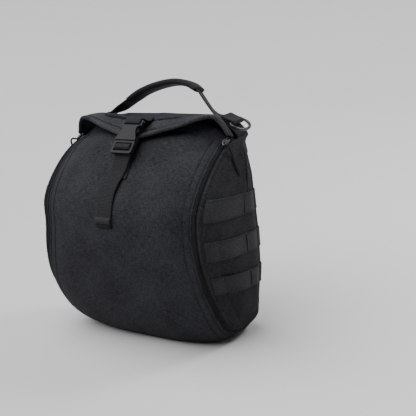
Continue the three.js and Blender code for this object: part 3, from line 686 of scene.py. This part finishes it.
def front_puff(grid, edge):
    loose = smoothstep(grid[..., 2], 1, 18)
    run = np.arange(grid.shape[0])[:, None] * 3.2
    pucker = np.sin(run * 2 * math.pi / 10.5 + 3 * grain(grid, 40, 2.0)) * bell(edge - 14, 7)
    waves = 1.6 * grain(grid, 62, 1.0) + 0.7 * grain(grid, 24, 5.0)
    return (hem_relief(edge, FRONT_HEM, 0.55) + 0.22 * pucker + waves * smoothstep(edge, 8, 40)) * loose


front_panel = cloth(
    "front_panel_cloth",
    place(np.vstack([collar_grid, front_grid])),
    PANEL_T,
    FABRIC,
    np.vstack([front_puff(collar_grid, collar_edge), front_puff(front_grid, front_edge)]),
)

back_rows = np.linspace(FOOT_Z + 0.8, GUSSET_TOP_BACK, 56)
back_rows = np.concatenate([back_rows, np.linspace(GUSSET_TOP_BACK + 2, BACK_TOP, 10)])
back_grid, back_edge = panel_points(back_stations(back_rows), ZIP_HALF - SEAM)
back_waves = 1.2 * grain(back_grid, 70, 3.0) * smoothstep(back_edge, 8, 40)
back_panel = cloth(
    "back_panel_cloth",
    place(back_grid),
    PANEL_T,
    FABRIC,
    hem_relief(back_edge, BACK_HEM, 0.4) - PANEL_PUFF + back_waves,
)

# Gussets: rings from the zip's edge round the corner and over the dome to its middle
TOP_STEPS = np.linspace(0, 1, 26)
GUSSET_SHARES = (0, 0.025, 0.06, 0.12, 0.18, 0.23, 0.255, 0.28, 0.31, 0.35, 0.42, 0.5, 0.6, 0.72, 0.86, 1)
DOME_SHARES = (0.97, 0.93, 0.88, 0.82, 0.75, 0.67, 0.58, 0.48, 0.37, 0.25, 0.13, 0.04)
BINDING = 3.6


def unfolded(loop):
    """A loop round the dome's middle with straight runs where it would turn back on itself."""
    angle = np.unwrap(np.arctan2(loop[:, 2] - DOME_Z, loop[:, 1] - DOME_Y))
    angle *= np.sign(angle[-1] - angle[0])
    forward = angle >= np.maximum.accumulate(angle)
    onward = angle <= np.minimum.accumulate(angle[::-1])[::-1]
    good = forward & onward
    place_in_loop = np.arange(len(loop))
    return np.stack([np.interp(place_in_loop, place_in_loop[good], loop[good, k]) for k in range(3)], -1)


def gusset_rings():
    back = back_stations(np.linspace(FOOT_Z + 4, GUSSET_TOP_BACK, 56))
    corner_x = np.interp(GUSSET_TOP_BACK, BACK_EDGE[:, 0], BACK_EDGE[:, 1])
    rim_y, rim_z = FRONT["base"][0]
    top = stations(
        np.stack([
            lerp(BACK_Y - 1.3 * BACK_R, rim_y + 0.75 * FRONT["round"][0], TOP_STEPS),
            lerp(GUSSET_TOP_BACK, rim_z, TOP_STEPS),
        ], -1),
        (0.0, 1.0),
        round=HEM_R,
        deg=BACK_DEG,
        x=lerp(corner_x, FRONT["x"][0], TOP_STEPS),
    )

    def ring(share):
        parts = []
        for st, arc in ((FRONT, ZIP_HALF + SEAM), (back, ZIP_HALF + SEAM), (top, 0)):
            parts.append(corner(st, lerp(arc_deg(st, arc), 88, share)))
        return np.vstack(parts)

    shoulder = ring(1)
    mended = unfolded(shoulder)
    rings = [ring(share) + (mended - shoulder) * share ** 2 for share in GUSSET_SHARES]
    shoulder = mended
    for share in DOME_SHARES:
        x = shoulder[:, 0] + (DOME_X - shoulder[:, 0]) * (1 - share ** DOME_POWER)
        y = lerp(DOME_Y, shoulder[:, 1], share)
        z = lerp(DOME_Z, shoulder[:, 2], share)
        rings.append(np.column_stack([x, y, z]))
    return np.array(rings)


GUSSET = gusset_rings()
LAST_RING = (GUSSET.shape[0] - 1) * GUSSET.shape[1]
GUSSET_TREE = BVHTree.FromPolygons(
    [tuple(p) for p in GUSSET.reshape(-1, 3)],
    quads(GUSSET.shape[0], GUSSET.shape[1], True) + [tuple(range(LAST_RING, GUSSET.size // 3))],
)


def on_gusset(y, z, lift):
    """A point lifted off the right gusset at a place of the side view."""
    spot, normal, _, _ = GUSSET_TREE.ray_cast(Vector((200, y, z)), Vector((-1, 0, 0)))
    if normal.x < 0:
        normal = -normal
    return np.array(spot + normal * lift)


def gusset_object(side, put):
    rings, count = GUSSET.shape[:2]
    steps = np.linalg.norm(np.diff(GUSSET, axis=0), axis=2)
    edge = np.vstack([np.zeros(count), np.cumsum(steps, 0)])
    along = np.gradient(GUSSET, axis=1)
    along[:, 0] = along[:, 1]
    n = unit(np.cross(along, np.gradient(GUSSET, axis=0)))
    n *= np.sign(np.median(n[..., 0]))
    waves = 1.5 * grain(GUSSET, 55, 7.0) + 0.6 * grain(GUSSET, 20, 9.0)
    at_zip = 1 - smoothstep(np.arange(count), len(FRONT["x"]) - 26, len(FRONT["x"]) - 16)
    bound = 1.5 * smoothstep(edge, 0, 1.2) * (1 - smoothstep(edge, BINDING - 0.7, BINDING + 0.5)) * at_zip
    puff = bound + 0.4 * smoothstep(edge, 9, 18) + waves * smoothstep(edge, 9, 34)
    outer = GUSSET + n * puff[..., None]
    inner = outer - n * GUSSET_T
    rim = (outer[0] + inner[0]) / 2
    crown = outer[-1].mean(0)
    points = [*outer.reshape(-1, 3), *inner.reshape(-1, 3), *rim, crown, crown - (GUSSET_T, 0, 0)]
    total = rings * count
    uv = GUSSET.reshape(-1, 3)[:, 1:] * MM
    uvs = [*uv, *uv, *(rim[:, 1:] * MM), crown[1:] * MM, crown[1:] * MM]
    faces = quads(rings, count, True)
    faces += [tuple(i + total for i in reversed(f)) for f in quads(rings, count, True)]
    last = (rings - 1) * count
    for c in range(count):
        d = (c + 1) % count
        faces.append((c, 2 * total + c, 2 * total + d, d))
        faces.append((2 * total + c, total + c, total + d, 2 * total + d))
        faces.append((last + c, last + d, 2 * total + count))
        faces.append((total + last + d, total + last + c, 2 * total + count + 1))
    points = put(points)
    return new_object(f"side_panel_{side}_cloth", points, outward(points, faces), SIDE_CLOTH, uvs)


gussets = both_sides(gusset_object)


# Zips: a tape on each side of the coil, and the coil's turns
TAPE_HALF = [(0, -2.0), (1.2, -1.9), (1.9, -1.7), (2.6, -1.4), (ZIP_HALF, -1.0)]  # from the middle, height
COIL_PITCH = 1.7
COIL_LEVEL = -1.5
COIL_REACH = np.array([1.75, 1.2, 0.5, -0.1])[:, None]
COIL_RISE = np.array([0.0, 0.6, 0.75, 0.25])[:, None]


def zip_objects(side, put):
    section = [(-at, rise) for at, rise in TAPE_HALF[:0:-1]] + TAPE_HALF
    grid = np.stack([beside_zip(at, rise) for at, rise in section], 1)
    tape = cloth(f"zip_{side}_tape", put(grid), 1.2, TAPE)
    line = beside_zip(0, COIL_LEVEL)
    count = int(lengths(line)[-1] / COIL_PITCH)
    middle = even(line, count)
    across = unit(even(beside_zip(-1.9, COIL_LEVEL), count) - middle)
    up = unit(even(beside_zip(0, 1.0), count) - middle)
    parts = []
    for k in range(count):
        along = unit(middle[min(k + 1, count - 1)] - middle[max(k - 1, 0)])
        for way, ahead in ((-1, 0), (1, COIL_PITCH / 2)):
            turn = middle[k] + across[k] * COIL_REACH * way + up[k] * COIL_RISE + along * ahead
            parts.append(tube_mesh(put(turn), 0.58, 5, up[k]))
    return tape, joined(f"zip_{side}_coil", parts, COIL)


zips = both_sides(zip_objects)


# Sewn lines beside the zips, on the panel and on the gusset
GUSSET_HEM = ZIP_HALF + SEAM + 7.5


def grid_line(grid, at):
    """A line at a distance from the right edge of a panel's grid."""
    half = slice(grid.shape[1] // 2, None)
    return np.array([respace(row[half][::-1], np.array([at]))[0] for row in grid])


def hem_stitches(side, put):
    lines = []
    for at in (EDGE_SEAM, FRONT_HEM):
        line = grid_line(front_grid, at)
        above = line + unit(line - beside_zip(0, -30))
        keep = line[:, 2] > 4
        lines.append((line[keep], above[keep]))
    lines.append((beside_zip(GUSSET_HEM, -0.25), beside_zip(GUSSET_HEM, 1.0)))
    parts = []
    for line, above in lines:
        path = put(line)
        parts += stitch_row(path, unit(put(above) - path), lift=0.0)
    return joined(f"hem_stitches_{side}", parts, THREAD)


stitches = both_sides(hem_stitches)


# Load webbing rows: bar-tacked here and there, standing off a little in between
ZIP_LINE = beside_zip(0)
ROW_SHARES = np.linspace(0, 1, 61)  # from a row's front end to its back
ROW_SIDES = (-0.5, -0.485, -0.46, -0.35, -0.18, 0, 0.18, 0.35, 0.46, 0.485, 0.5)
ROW_STITCH = 0.44  # share of the width from a row's middle to its stitches


def zip_y(z):
    upper = ZIP_LINE[: int(np.argmin(ZIP_LINE[:, 2]))]
    return np.interp(z, upper[::-1, 2], upper[::-1, 1])


def row_point(row, share, side, lift):
    front_z, back_z = ROWS[row]
    y = lerp(zip_y(front_z + side * WEB_W) + ROW_FRONT, ROW_BACK_Y, share)
    return on_gusset(y, lerp(front_z, back_z, share) + side * WEB_W, lift)


def row_lift(share):
    """How far a row stands off, zero at its bar tacks."""
    for a, b in zip(ROW_TACKS, ROW_TACKS[1:]):
        if a <= share <= b:
            return 0.9 * math.sin(math.pi * (share - a) / (b - a)) ** 2
    return 0.0


def row_top(share):
    """Height of a row's outer face over the gusset, low at its two ends."""
    free = float(smoothstep(share, 0, 0.05) * (1 - smoothstep(share, 0.92, 1)))
    return 0.8 + 1.1 * free + row_lift(share)


def row_objects(side, put):
    made = []
    for row in range(len(ROWS)):
        grid = [[row_point(row, s, t, row_top(s)) for t in ROW_SIDES] for s in ROW_SHARES]
        name = f"webbing_row_{row + 1}_{side}_strap"
        made.append(cloth(name, put(grid), 1.3, ROW_WEBBING))
        parts = []
        for tack in ROW_TACKS[1:3]:
            for k in np.linspace(-ROW_STITCH, ROW_STITCH, 15):
                across = [row_point(row, tack + d, k, row_top(tack) + 0.2) for d in (-0.009, 0, 0.009)]
                parts.append(tube_mesh(put(across), 0.7, 5))
        for edge in (-ROW_STITCH, ROW_STITCH):
            line = put([row_point(row, s, edge, row_top(s)) for s in ROW_SHARES])
            high = put([row_point(row, s, edge, row_top(s) + 3) for s in ROW_SHARES])
            parts += stitch_row(line, unit(high - line), radius=0.34)
        made.append(joined(f"webbing_row_{row + 1}_{side}_tacks", parts, THREAD))
    return made


rows = both_sides(row_objects)


# Top flap
FLAP_STEPS = 100
HEM_ROW = 88  # where the hem is sewn down
HEM_RUN = 0.9  # where its doubled cloth starts, from the seam (0) to the hem (1)


def flap_row(entry, droop, wing_drop):
    """A row's points, from the left wing's edge to the right one's."""
    (middle_y, middle_z), corner_point, wing_point = entry
    halves = []
    for side in (-1, 1):
        low, down = (droop, wing_drop) if side < 0 else (0, 0)
        x, y, z = corner_point
        tip = np.array([side * (x + 0.5 * low), y - low, z - low])
        wing = (np.array(wing_point, float) + (0.5 * low, 0, -0.9 * low - down)) * (side, 1, 1)
        middle = np.array([0, middle_y, middle_z], float)
        roll = lerp(tip, wing, 0.35) + (side * 3, 0, 1)
        line = catmull([middle, lerp(middle, tip, 0.5), tip, roll, wing], 200)
        halves.append(even(line, 46))
    return np.vstack([halves[0][::-1], halves[1][1:]])


def flap_grid():
    entries = []
    for i, entry in enumerate(FLAP):
        entries.append(flap_row(entry, LEFT_DROOP * i * i / (len(FLAP) - 1) ** 2, LEFT_WING_DROP[i]))
    table = np.array(entries)
    columns = [catmull(table[:, c], FLAP_STEPS) for c in range(table.shape[1])]
    return np.array(columns).transpose(1, 0, 2)


FLAP_GRID = flap_grid()
FLAP_PLACED = place(FLAP_GRID)
FLAP_INSIDE = np.array([0, 20, 230.0])  # a point under the flap
FOLD_RUN = 0.607  # the fold's place from the seam (0) to the hem (1)
FOLD_REACH = 4.0  # how far the cloth above the fold hangs over it


def along_flap(grid):
    return np.linspace(0, 1, grid.shape[0])[:, None] * np.ones(grid.shape[:2])


def fold_bend(grid):
    """Distance below the fold, as a share of the flap's length, and the fold's strength."""
    bend = along_flap(grid) - FOLD_RUN - 0.04 * grain(grid * (1, 0, 0), 30, 14.0)
    return bend, 1 - smoothstep(np.abs(grid[..., 0] + 14), 48, 74)


def folded(grid):
    """The flap's grid with the cloth just above the fold slid down over it."""
    bend, middle = fold_bend(grid)
    reach = FOLD_REACH * bell(bend + 0.03, 0.022) * middle
    return grid + unit(np.gradient(grid, axis=0)) * reach[..., None]


def flap_puff(grid):
    run = along_flap(grid)
    free = smoothstep(run, 0.15, 0.6)
    waves = 2.2 * grain(grid, 48, 11.0) + 0.9 * grain(grid, 17, 12.0)
    hem = 0.9 * smoothstep(run, HEM_RUN, HEM_RUN + 0.005) - 0.35 * bell(run - HEM_RUN, 0.012)
    beside_strap = smoothstep(np.abs(grid[..., 0]), 15, 36)
    bend, middle = fold_bend(grid)
    fold = 2.0 * bell(bend + 0.035, 0.035) - 1.2 * bell(bend, 0.015)
    return waves * free * beside_strap + hem + fold * middle


flap = cloth(
    "top_flap_cloth",
    place(folded(FLAP_GRID)),
    FLAP_T,
    FLAP_CLOTH,
    flap_puff(FLAP_GRID),
    FLAP_INSIDE,
)
flap_hem = joined("top_flap_hem", [tube_mesh(FLAP_PLACED[-1], 2.6, 12, (0, -0.3, 1))], FLAP_CLOTH)
flap_seam_up = grid_normals(FLAP_PLACED, place(FLAP_INSIDE))[HEM_ROW]
flap_seam = FLAP_PLACED[HEM_ROW] + flap_seam_up * 0.7 * MM
flap_stitches = joined("top_flap_stitches", stitch_row(flap_seam, flap_seam_up), THREAD)

# Handle: padded grip in a webbing sleeve, and its two straps
ACROSS = np.array([0.0, 1.0, 0.0])
GRIP_ROLL_DEG = 16
GRIP_ROLL = math.radians(GRIP_ROLL_DEG)
GRIP_SIDES = 28
GRIP_GIRTH = 65
ROLLED = np.array([0.0, math.cos(GRIP_ROLL), -math.sin(GRIP_ROLL)])


def grip_object():
    path = even(catmull(GRIP, 90), 70)
    along = unit(np.gradient(path, axis=0))
    across = unit(ROLLED - along * (along @ ROLLED)[:, None])
    up = unit(np.cross(along, across))
    run = lengths(path)
    ends = np.minimum(run, run[-1] - run)
    full = 0.8 + 0.2 * smoothstep(ends, 0, 9)
    share = np.arange(GRIP_SIDES) / GRIP_SIDES
    wide = boxy(np.cos(2 * math.pi * share), 0.6) * GRIP_W / 2
    high = boxy(np.sin(2 * math.pi * share), 0.8) * GRIP_T / 2 * full[:, None]
    girth = np.broadcast_to(GRIP_GIRTH * share, high.shape)
    points, uvs = swept(path, across, up, wide, high, girth)
    placed = place(points)
    faces = outward(placed, tube_faces(*high.shape))
    return new_object("handle_grip_pad", placed, faces, WEBBING, uvs * MM)


grip = grip_object()


STRAP_STEPS = 90
TWIST_DEG = {1: 20, -1: 0}  # turn of the right and the left strap about the upright, next to the grip
STRAP_FREE = (26, 62)  # distances from the grip where a strap's turn starts to fade, and ends
STRAP_HUG_Z = (256, 268)  # heights between which a strap comes to lie on the gusset
SEWN_LIFT = 1.6
GUSSET_BACK_Y = 68.5


def sewn_x(z):
    return max(on_gusset(STRAP_Y + share * WEB_W, z, 0)[0] for share in (-0.5, -0.25, 0, 0.25))


def gusset_face(y, z):
    """The gusset's half width, run on past its back edge."""
    face = on_gusset(min(y, GUSSET_BACK_Y), z, SEWN_LIFT)
    return face[0] - 1.1 * max(0, y - GUSSET_BACK_Y)


def strap_grid(side):
    """A handle strap's outer face in the tables' millimetres, as for the right-hand one."""
    end = np.array(GRIP[-1] if side > 0 else GRIP[0], float) * (side, 1, 1)
    path = [end + (0.6, 0, -GAP)]
    path += [np.array([x, STRAP_Y - 1, z]) for x, z in STRAP_SHOULDER]
    path += [np.array([sewn_x(z) + SEWN_LIFT, STRAP_Y, z]) for z in STRAP_SEWN_Z]
    path = catmull(path, STRAP_STEPS)
    run = lengths(path)
    free = 1 - smoothstep(run, *STRAP_FREE)
    rows = []
    for k, spot in enumerate(path):
        turn = math.radians(TWIST_DEG[side]) * free[k]
        roll = GRIP_ROLL * free[k]
        across = np.array([-math.sin(turn), math.cos(turn) * math.cos(roll), -math.sin(roll)])
        row = spot + unit(across) * np.linspace(-0.5, 0.5, 11)[:, None] * WEB_W
        hug = float(1 - smoothstep(spot[2], *STRAP_HUG_Z))
        for point in row:
            if hug > 0:
                face = gusset_face(point[1], min(point[2], STRAP_SEWN_Z[0]))
                point[0] = lerp(point[0], face, hug)
        rows.append(row)
    return np.array(rows)


def handle_strap(side, put):
    grid = put(strap_grid(1 if side == "right" else -1))
    return cloth(f"handle_strap_{side}_web", grid, WEB_T, WEBBING, inside=(0, STRAP_Y, 150.0))


handle_straps = both_sides(handle_strap)


# D-rings and their webbing loops

def ring_path():
    """A D-ring's middle line, along its bar and out: the bar, a corner, the bow, the other corner."""
    half = RING_BAR / 2
    round_ = RING_CORNER_R
    bow = round_ + 3
    bar = np.linspace(-half, half, 20)
    return np.vstack([
        np.stack([bar, np.zeros(20)], -1),
        ellipse(half, round_, round_, round_, np.linspace(-90, 0, 7)[1:]),
        ellipse(0, bow, half + round_, RING_DEPTH - bow, np.linspace(0, 180, 40)),
        ellipse(-half, round_, round_, round_, np.linspace(180, 270, 7)[:-1]),
    ])


def sloping(deg):
    """Directions along and up from a slope that falls to the right."""
    turn = math.radians(deg)
    c, s = math.cos(turn), math.sin(turn)
    return np.array([c, 0, -s]), np.array([s, 0, c])


def ring_object(side, put):
    reach, up = sloping(RING_DROOP_DEG)
    line = [RING_HINGE + ACROSS * a + reach * b for a, b in ring_path()]
    up = up if side == "right" else mirrored(up)
    bow = smoothstep(ring_path()[:, 1], 1, RING_CORNER_R + 2)
    wire = RING_WIRE_R + RING_BOW_MORE * bow
    ring = tube_mesh(put(line), wire, 14, up, True)
    return joined(f"d_ring_{side}_wire", [ring], METAL)


rings = both_sides(ring_object)


def tab_object(side, put):
    bend = RING_WIRE_R + GAP + WEB_T / 2
    along, up = sloping(TAB_SLOPE_DEG)
    flat = [(-17, -bend - 3.3), (-8, -bend - 0.7)]
    flat += list(ellipse(0, 0, bend, bend, range(-90, 91, 15)))
    flat += [(-8, -bend + 1.8), (-17, -bend - 1.5)]
    path = catmull([RING_HINGE + along * a + up * b for a, b in flat], 90)
    return strap(f"ring_tab_{side}_web", put(path), ACROSS, WEB_W, WEB_T, WEBBING)


tabs = both_sides(tab_object)

# Zip sliders and their ribbon pulls
SLIDER_STATION = 5  # just under the rim
SLIDER_LENGTH = 11
SLIDER_W = 8
SLIDER_T = 4
SLIDER_PLATES = ((2.4, 1.7), (-0.9, 1.1))  # height over the zip, thickness
SLIDER_LAYERS = ((-0.5, 0.9), (-0.3, 1), (0.3, 1), (0.5, 0.88))  # share of the thickness, size there
SLIDER_BRIDGE = [(4.6, 2.4), (4.2, 4.0), (2.6, 4.8), (0, 5.1), (-2.6, 4.7), (-4.1, 3.8), (-4.5, 2.4)]
PULL = [(17, 252, 3.5), (19, 240, 2.5), (21, 225, 2)]  # y, z, height over the gusset
PULL_T = 1.8
# Share of the pull's length, and its width there
PULL_WIDTHS = [(0, 2.2), (0.42, 2.4), (0.56, 5.4), (0.66, 6.6), (0.94, 6.4), (1, 4.6)]
PULL_ACROSS = (0, 0.93, 0.36)


def slider_frame():
    """Middle of the slider's foot on the zip, and its directions: along, towards the gusset, out."""
    spot = beside_zip(0)
    low, rim = spot[SLIDER_STATION], spot[0]
    along = unit(rim - low)
    up = unit(beside_zip(0, 1)[SLIDER_STATION] - low)
    across = unit(np.cross(up, along))
    across *= np.sign(across @ (beside_zip(2)[SLIDER_STATION] - low))
    return lerp(low, rim, 0.4) + along * SLIDER_LENGTH / 2, along, across, up


def link_end():
    at, along, across, up = slider_frame()
    return at - along * 8.2 + across * 1.2 + up * 2.4


def slider_object(side, put):
    """A slider of two plates on the coil, with a bridge over the upper one and a link through it."""
    at, along, across, up = slider_frame()
    turns = np.linspace(0, 2 * math.pi, 40, endpoint=False)[:, None]
    reach = boxy(np.cos(turns), 0.6) * SLIDER_LENGTH / 2
    taper = 1 - 0.25 * smoothstep(-reach, 0, SLIDER_LENGTH / 2)
    outline = along * reach + across * boxy(np.sin(turns), 0.6) * SLIDER_W / 2 * taper
    parts = []
    for level, thick in SLIDER_PLATES:
        layers = [at + outline * size + up * (level + rise * thick) for rise, size in SLIDER_LAYERS]
        points = put(np.vstack(layers))
        parts.append((points, tube_faces(len(layers), len(outline)), np.zeros((len(points), 2))))
    post = [at + along * 3.4 + up * z for z in (-1.2, 0.5, 2.6)]
    parts.append(tube_mesh(put(post), 1.4, 10, (1, 0, 0)))
    arch = [at + along * a + up * b for a, b in SLIDER_BRIDGE]
    parts.append(tube_mesh(put(catmull(arch, 24)), 1.0, 10, across))
    head = at - along * 1.6 + up * 4.2
    hang = link_end() - head
    aside = np.cross(unit(hang), up)
    loop = ellipse(0.45, 0, 0.62, 2.0, range(0, 360, 15))
    link = [head + hang * a + aside * b for a, b in loop]
    parts.append(tube_mesh(put(link), 1.5, 8, up, True))
    return joined(f"zip_slider_{side}_body", parts, METAL)


sliders = both_sides(slider_object)


def pull_object(side, put):
    """A ribbon: a narrow neck through the slider's link, then a wider tab down the gusset."""
    top = beside_zip(6, SLIDER_T + 4)[SLIDER_STATION]
    path = catmull([link_end(), top, *[on_gusset(*spot) for spot in PULL]], 60)
    shares, widths = np.array(PULL_WIDTHS).T
    width = np.interp(lengths(path) / lengths(path)[-1], shares, widths)
    return strap(f"zip_pull_{side}_web", put(path), PULL_ACROSS, width, PULL_T, PULL_RIBBON)


pulls = both_sides(pull_object)

# Buckle straps, in the buckle's own frame: across, down its length, and out
TILT = math.radians(BUCKLE_TILT_DEG)
DOWN = np.array([0, -math.sin(TILT), -math.cos(TILT)])
OUT = np.array([0, -math.cos(TILT), math.sin(TILT)])
BUCKLE = np.array([0, BUCKLE_Y, BUCKLE_Z])


def surface_under(line):
    """A function that gives [down, out] on a surface's middle line, raised off it."""
    down = (line - BUCKLE) @ DOWN
    out = (line - BUCKLE) @ OUT
    first = slice(0, int(np.argmax(down)) + 1)
    down, out = down[first], out[first]

    def at(place_down, rise):
        level = np.interp(place_down, down, out)
        slope = (np.interp(place_down + 1, down, out) - np.interp(place_down - 1, down, out)) / 2
        return (place_down, level + rise * math.hypot(1, slope))

    return at


on_panel = surface_under(front_grid[:, front_grid.shape[1] // 2])
on_flap = surface_under(FLAP_GRID[:, FLAP_GRID.shape[1] // 2])
FIRST_LAYER = THIN_WEB_T / 2 + 1.0
SECOND_LAYER = FIRST_LAYER + THIN_WEB_T + 0.6
BAR_TURN_R = 4  # the strap's turn round the buckle's bar


def buckle_web(name, points, count, sewn=0, material=WEBBING):
    """A strap through [down, out] points; its tail leans to the left, its first sewn points don't."""
    spots = []
    for k, (down, out) in enumerate(points):
        lean = 0 if k < sewn else TAIL_LEAN * float(smoothstep(down, BUCKLE_LENGTH + 4, 100))
        spots.append(BUCKLE + DOWN * down + OUT * out - (lean, 0, 0))
    path = even(catmull(spots, len(spots) * 8), count)
    return strap(name, place(path), (1, 0, 0), WEB_W, THIN_WEB_T, material, 13)


front_strap = buckle_web("buckle_strap_web", [
    *[on_panel(down, FIRST_LAYER) for down in (78, 72, 66)],
    (57, -8.6),
    (BUCKLE_LENGTH, -5.9),
    (BUCKLE_LENGTH - 6, -5),
    (BAR_DOWN + 1, -4.1),
    *ellipse(BAR_DOWN, 0, BAR_TURN_R, BAR_TURN_R, np.linspace(-112, -250, 7)),
    (BAR_DOWN + 2.6, 3.4),
    (BAR_DOWN + 4.4, 0),
    (BUCKLE_LENGTH - 4.7, -3.3),
    (BUCKLE_LENGTH - 2.5, -3.9),
    (BUCKLE_LENGTH + 2, -4.4),
    (60, -6.6),
    on_panel(68, SECOND_LAYER + 0.8),
    *[on_panel(down, SECOND_LAYER) for down in (76, 86, 98, 111, 123)],
    on_panel(TAIL_END, SECOND_LAYER + 0.6),
    on_panel(TAIL_END + 1.6, SECOND_LAYER - 0.6),
    *[on_panel(TAIL_END + past, FIRST_LAYER) for past in (1, -3, -9)],
], 240, 3)

# The free end's raised fold, in lighter webbing as a painted highlight on its top, and below it a dark
# strip as painted shadow: how far past the end, and how high
TAIL_HEM = [(-5.5, 1.0), (-3.2, 2.4), (-0.8, 2.8), (0.4, 1.8), (0.2, 0.3)]
TAIL_SHADOW_STRIP = [(-0.8, 1.0), (1.6, 1.2), (3.4, 0.6), (3.8, -1)]


def tail_piece(name, places, count, material):
    points = [on_panel(TAIL_END + past, SECOND_LAYER + rise) for past, rise in places]
    return buckle_web(name, points, count, material=material)


# painted highlight: the hem is in the lighter row webbing, standing for the light on its top, not in the
# strap's own webbing
tail_hem_painted_highlight = tail_piece("buckle_strap_hem_painted_highlight", TAIL_HEM, 24, ROW_WEBBING)
# painted shadow: a strip of the dark pull ribbon laid below the hem where its shadow falls
tail_shadow_strip = tail_piece("buckle_strap_painted_shadow", TAIL_SHADOW_STRIP, 20, PULL_RIBBON)

flap_strap = buckle_web("flap_strap_web", [
    *[on_flap(down, FIRST_LAYER) for down in (-18, -12, -7)],
    (-1, -5.6),
    (1.5, -3.8),
    (4.2, -3.4),
    (5.8, -1.6),
    (6, 1.2),
    (5, 3.1),
    (3.2, 3.7),
    (0.5, 3.7),
    (-2, 2.7),
    on_flap(-8, SECOND_LAYER + 0.8),
    on_flap(-12, SECOND_LAYER),
    on_flap(-17, SECOND_LAYER),
], 90)

# Hard pieces keep their solids, with rounded edges
for node in ("buckle_female", "buckle_male"):
    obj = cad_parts[node]
    obj.data.materials.clear()
    obj.data.materials.append(PLASTIC)
    bevel = obj.modifiers.new("edges", "BEVEL")
    bevel.width = 0.0008
    bevel.segments = 3
    bevel.limit_method = "ANGLE"
    bevel.angle_limit = math.radians(35)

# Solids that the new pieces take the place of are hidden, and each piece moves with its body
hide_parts("front_panel")
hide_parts("back_panel")
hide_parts("top_flap")
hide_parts("handle_grip")
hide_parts("buckle_strap")
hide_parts("flap_strap")
riding = [front_panel, back_panel, flap, flap_hem, flap_stitches]
riding += [grip, front_strap, tail_hem_painted_highlight, tail_shadow_strip, flap_strap]
for side in ("left", "right"):
    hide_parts(f"side_panel_{side}")
    tape, coil = zips[side]
    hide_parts(f"zip_{side}")
    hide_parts(f"handle_strap_{side}")
    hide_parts(f"ring_tab_{side}")
    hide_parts(f"d_ring_{side}")
    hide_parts(f"zip_pull_{side}")
    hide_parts(f"zip_slider_{side}")
    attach(sliders[side], "bag")
    for k in range(len(ROWS)):
        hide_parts(f"webbing_row_{k + 1}_{side}")
    riding += [gussets[side], tape, coil, stitches[side], handle_straps[side], tabs[side], pulls[side]]
    riding += rows[side]
    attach(rings[side], f"ring_{side}")
for piece in riding:
    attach(piece, "bag")
flap_runs = [lengths(column)[-1] for column in FLAP_PLACED.transpose(1, 0, 2)]

# Camera at the photograph's place and angle
PHOTO_PX = 416
FOCAL_PX = 810
SENSOR = 36
CAMERA = Vector((0.6721, -0.8013, 0.4610))
RIGHT = Vector((0.829, 0.5523, -0.0875))
UP = Vector((-0.0807, 0.273, 0.9586))
AHEAD = Vector((-0.5533, 0.7877, -0.2709))
turn = Matrix((RIGHT, UP, -AHEAD)).transposed().to_4x4()
camera_data = bpy.data.cameras.new("camera")
camera_data.sensor_width = SENSOR
camera_data.lens = SENSOR * FOCAL_PX / PHOTO_PX
camera_data.clip_end = 120
camera = bpy.data.objects.new("camera", camera_data)
camera.matrix_world = Matrix.Translation(CAMERA) @ turn
bpy.context.scene.collection.objects.link(camera)
bpy.context.scene.camera = camera

# Pale floor that curves up behind, and soft studio light
FLOOR_COLUMNS = np.linspace(-40, 40, 5)
FLOOR_BACK, FLOOR_BEND = 2, 1.5
profile = [(-40, 0), (-FLOOR_BACK, 0), (FLOOR_BACK, 0)]
bend = np.degrees(np.linspace(0.1, math.pi / 2, 14)) - 90
profile += list(ellipse(FLOOR_BACK, FLOOR_BEND, FLOOR_BEND, FLOOR_BEND, bend))
profile += [(FLOOR_BACK + FLOOR_BEND, 6)]
floor_points = [(x, y, z) for y, z in profile for x in FLOOR_COLUMNS]
FLOOR = Net("pale_floor", (0.54, 0.54, 0.54), 0.9).material
floor = new_object("floor", floor_points, quads(len(profile), len(FLOOR_COLUMNS)), FLOOR)


def light(name, kind, power, spot, direction):
    data = bpy.data.lights.new(name, kind)
    data.energy = power
    lamp = bpy.data.objects.new(name, data)
    lamp.location = spot
    lamp.rotation_euler = Vector(direction).to_track_quat("-Z", "Y").to_euler()
    bpy.context.scene.collection.objects.link(lamp)
    return data


rim = light("rim", "AREA", 14, (0.9, 0.9, 1.3), (-0.9, -0.9, -1.08))
rim.shape = "DISK"
rim.size = 0.5
sky = light("sky_light", "SUN", 5.2, (0, 0, 0), (0.36, 0.36, -1.0))
sky.angle = math.radians(75)
world = bpy.data.worlds.new("studio")
world.use_nodes = True
background = world.node_tree.nodes["Background"].inputs
background["Color"].default_value = (1, 1, 1, 1)
background["Strength"].default_value = 0.12
bpy.context.scene.world = world
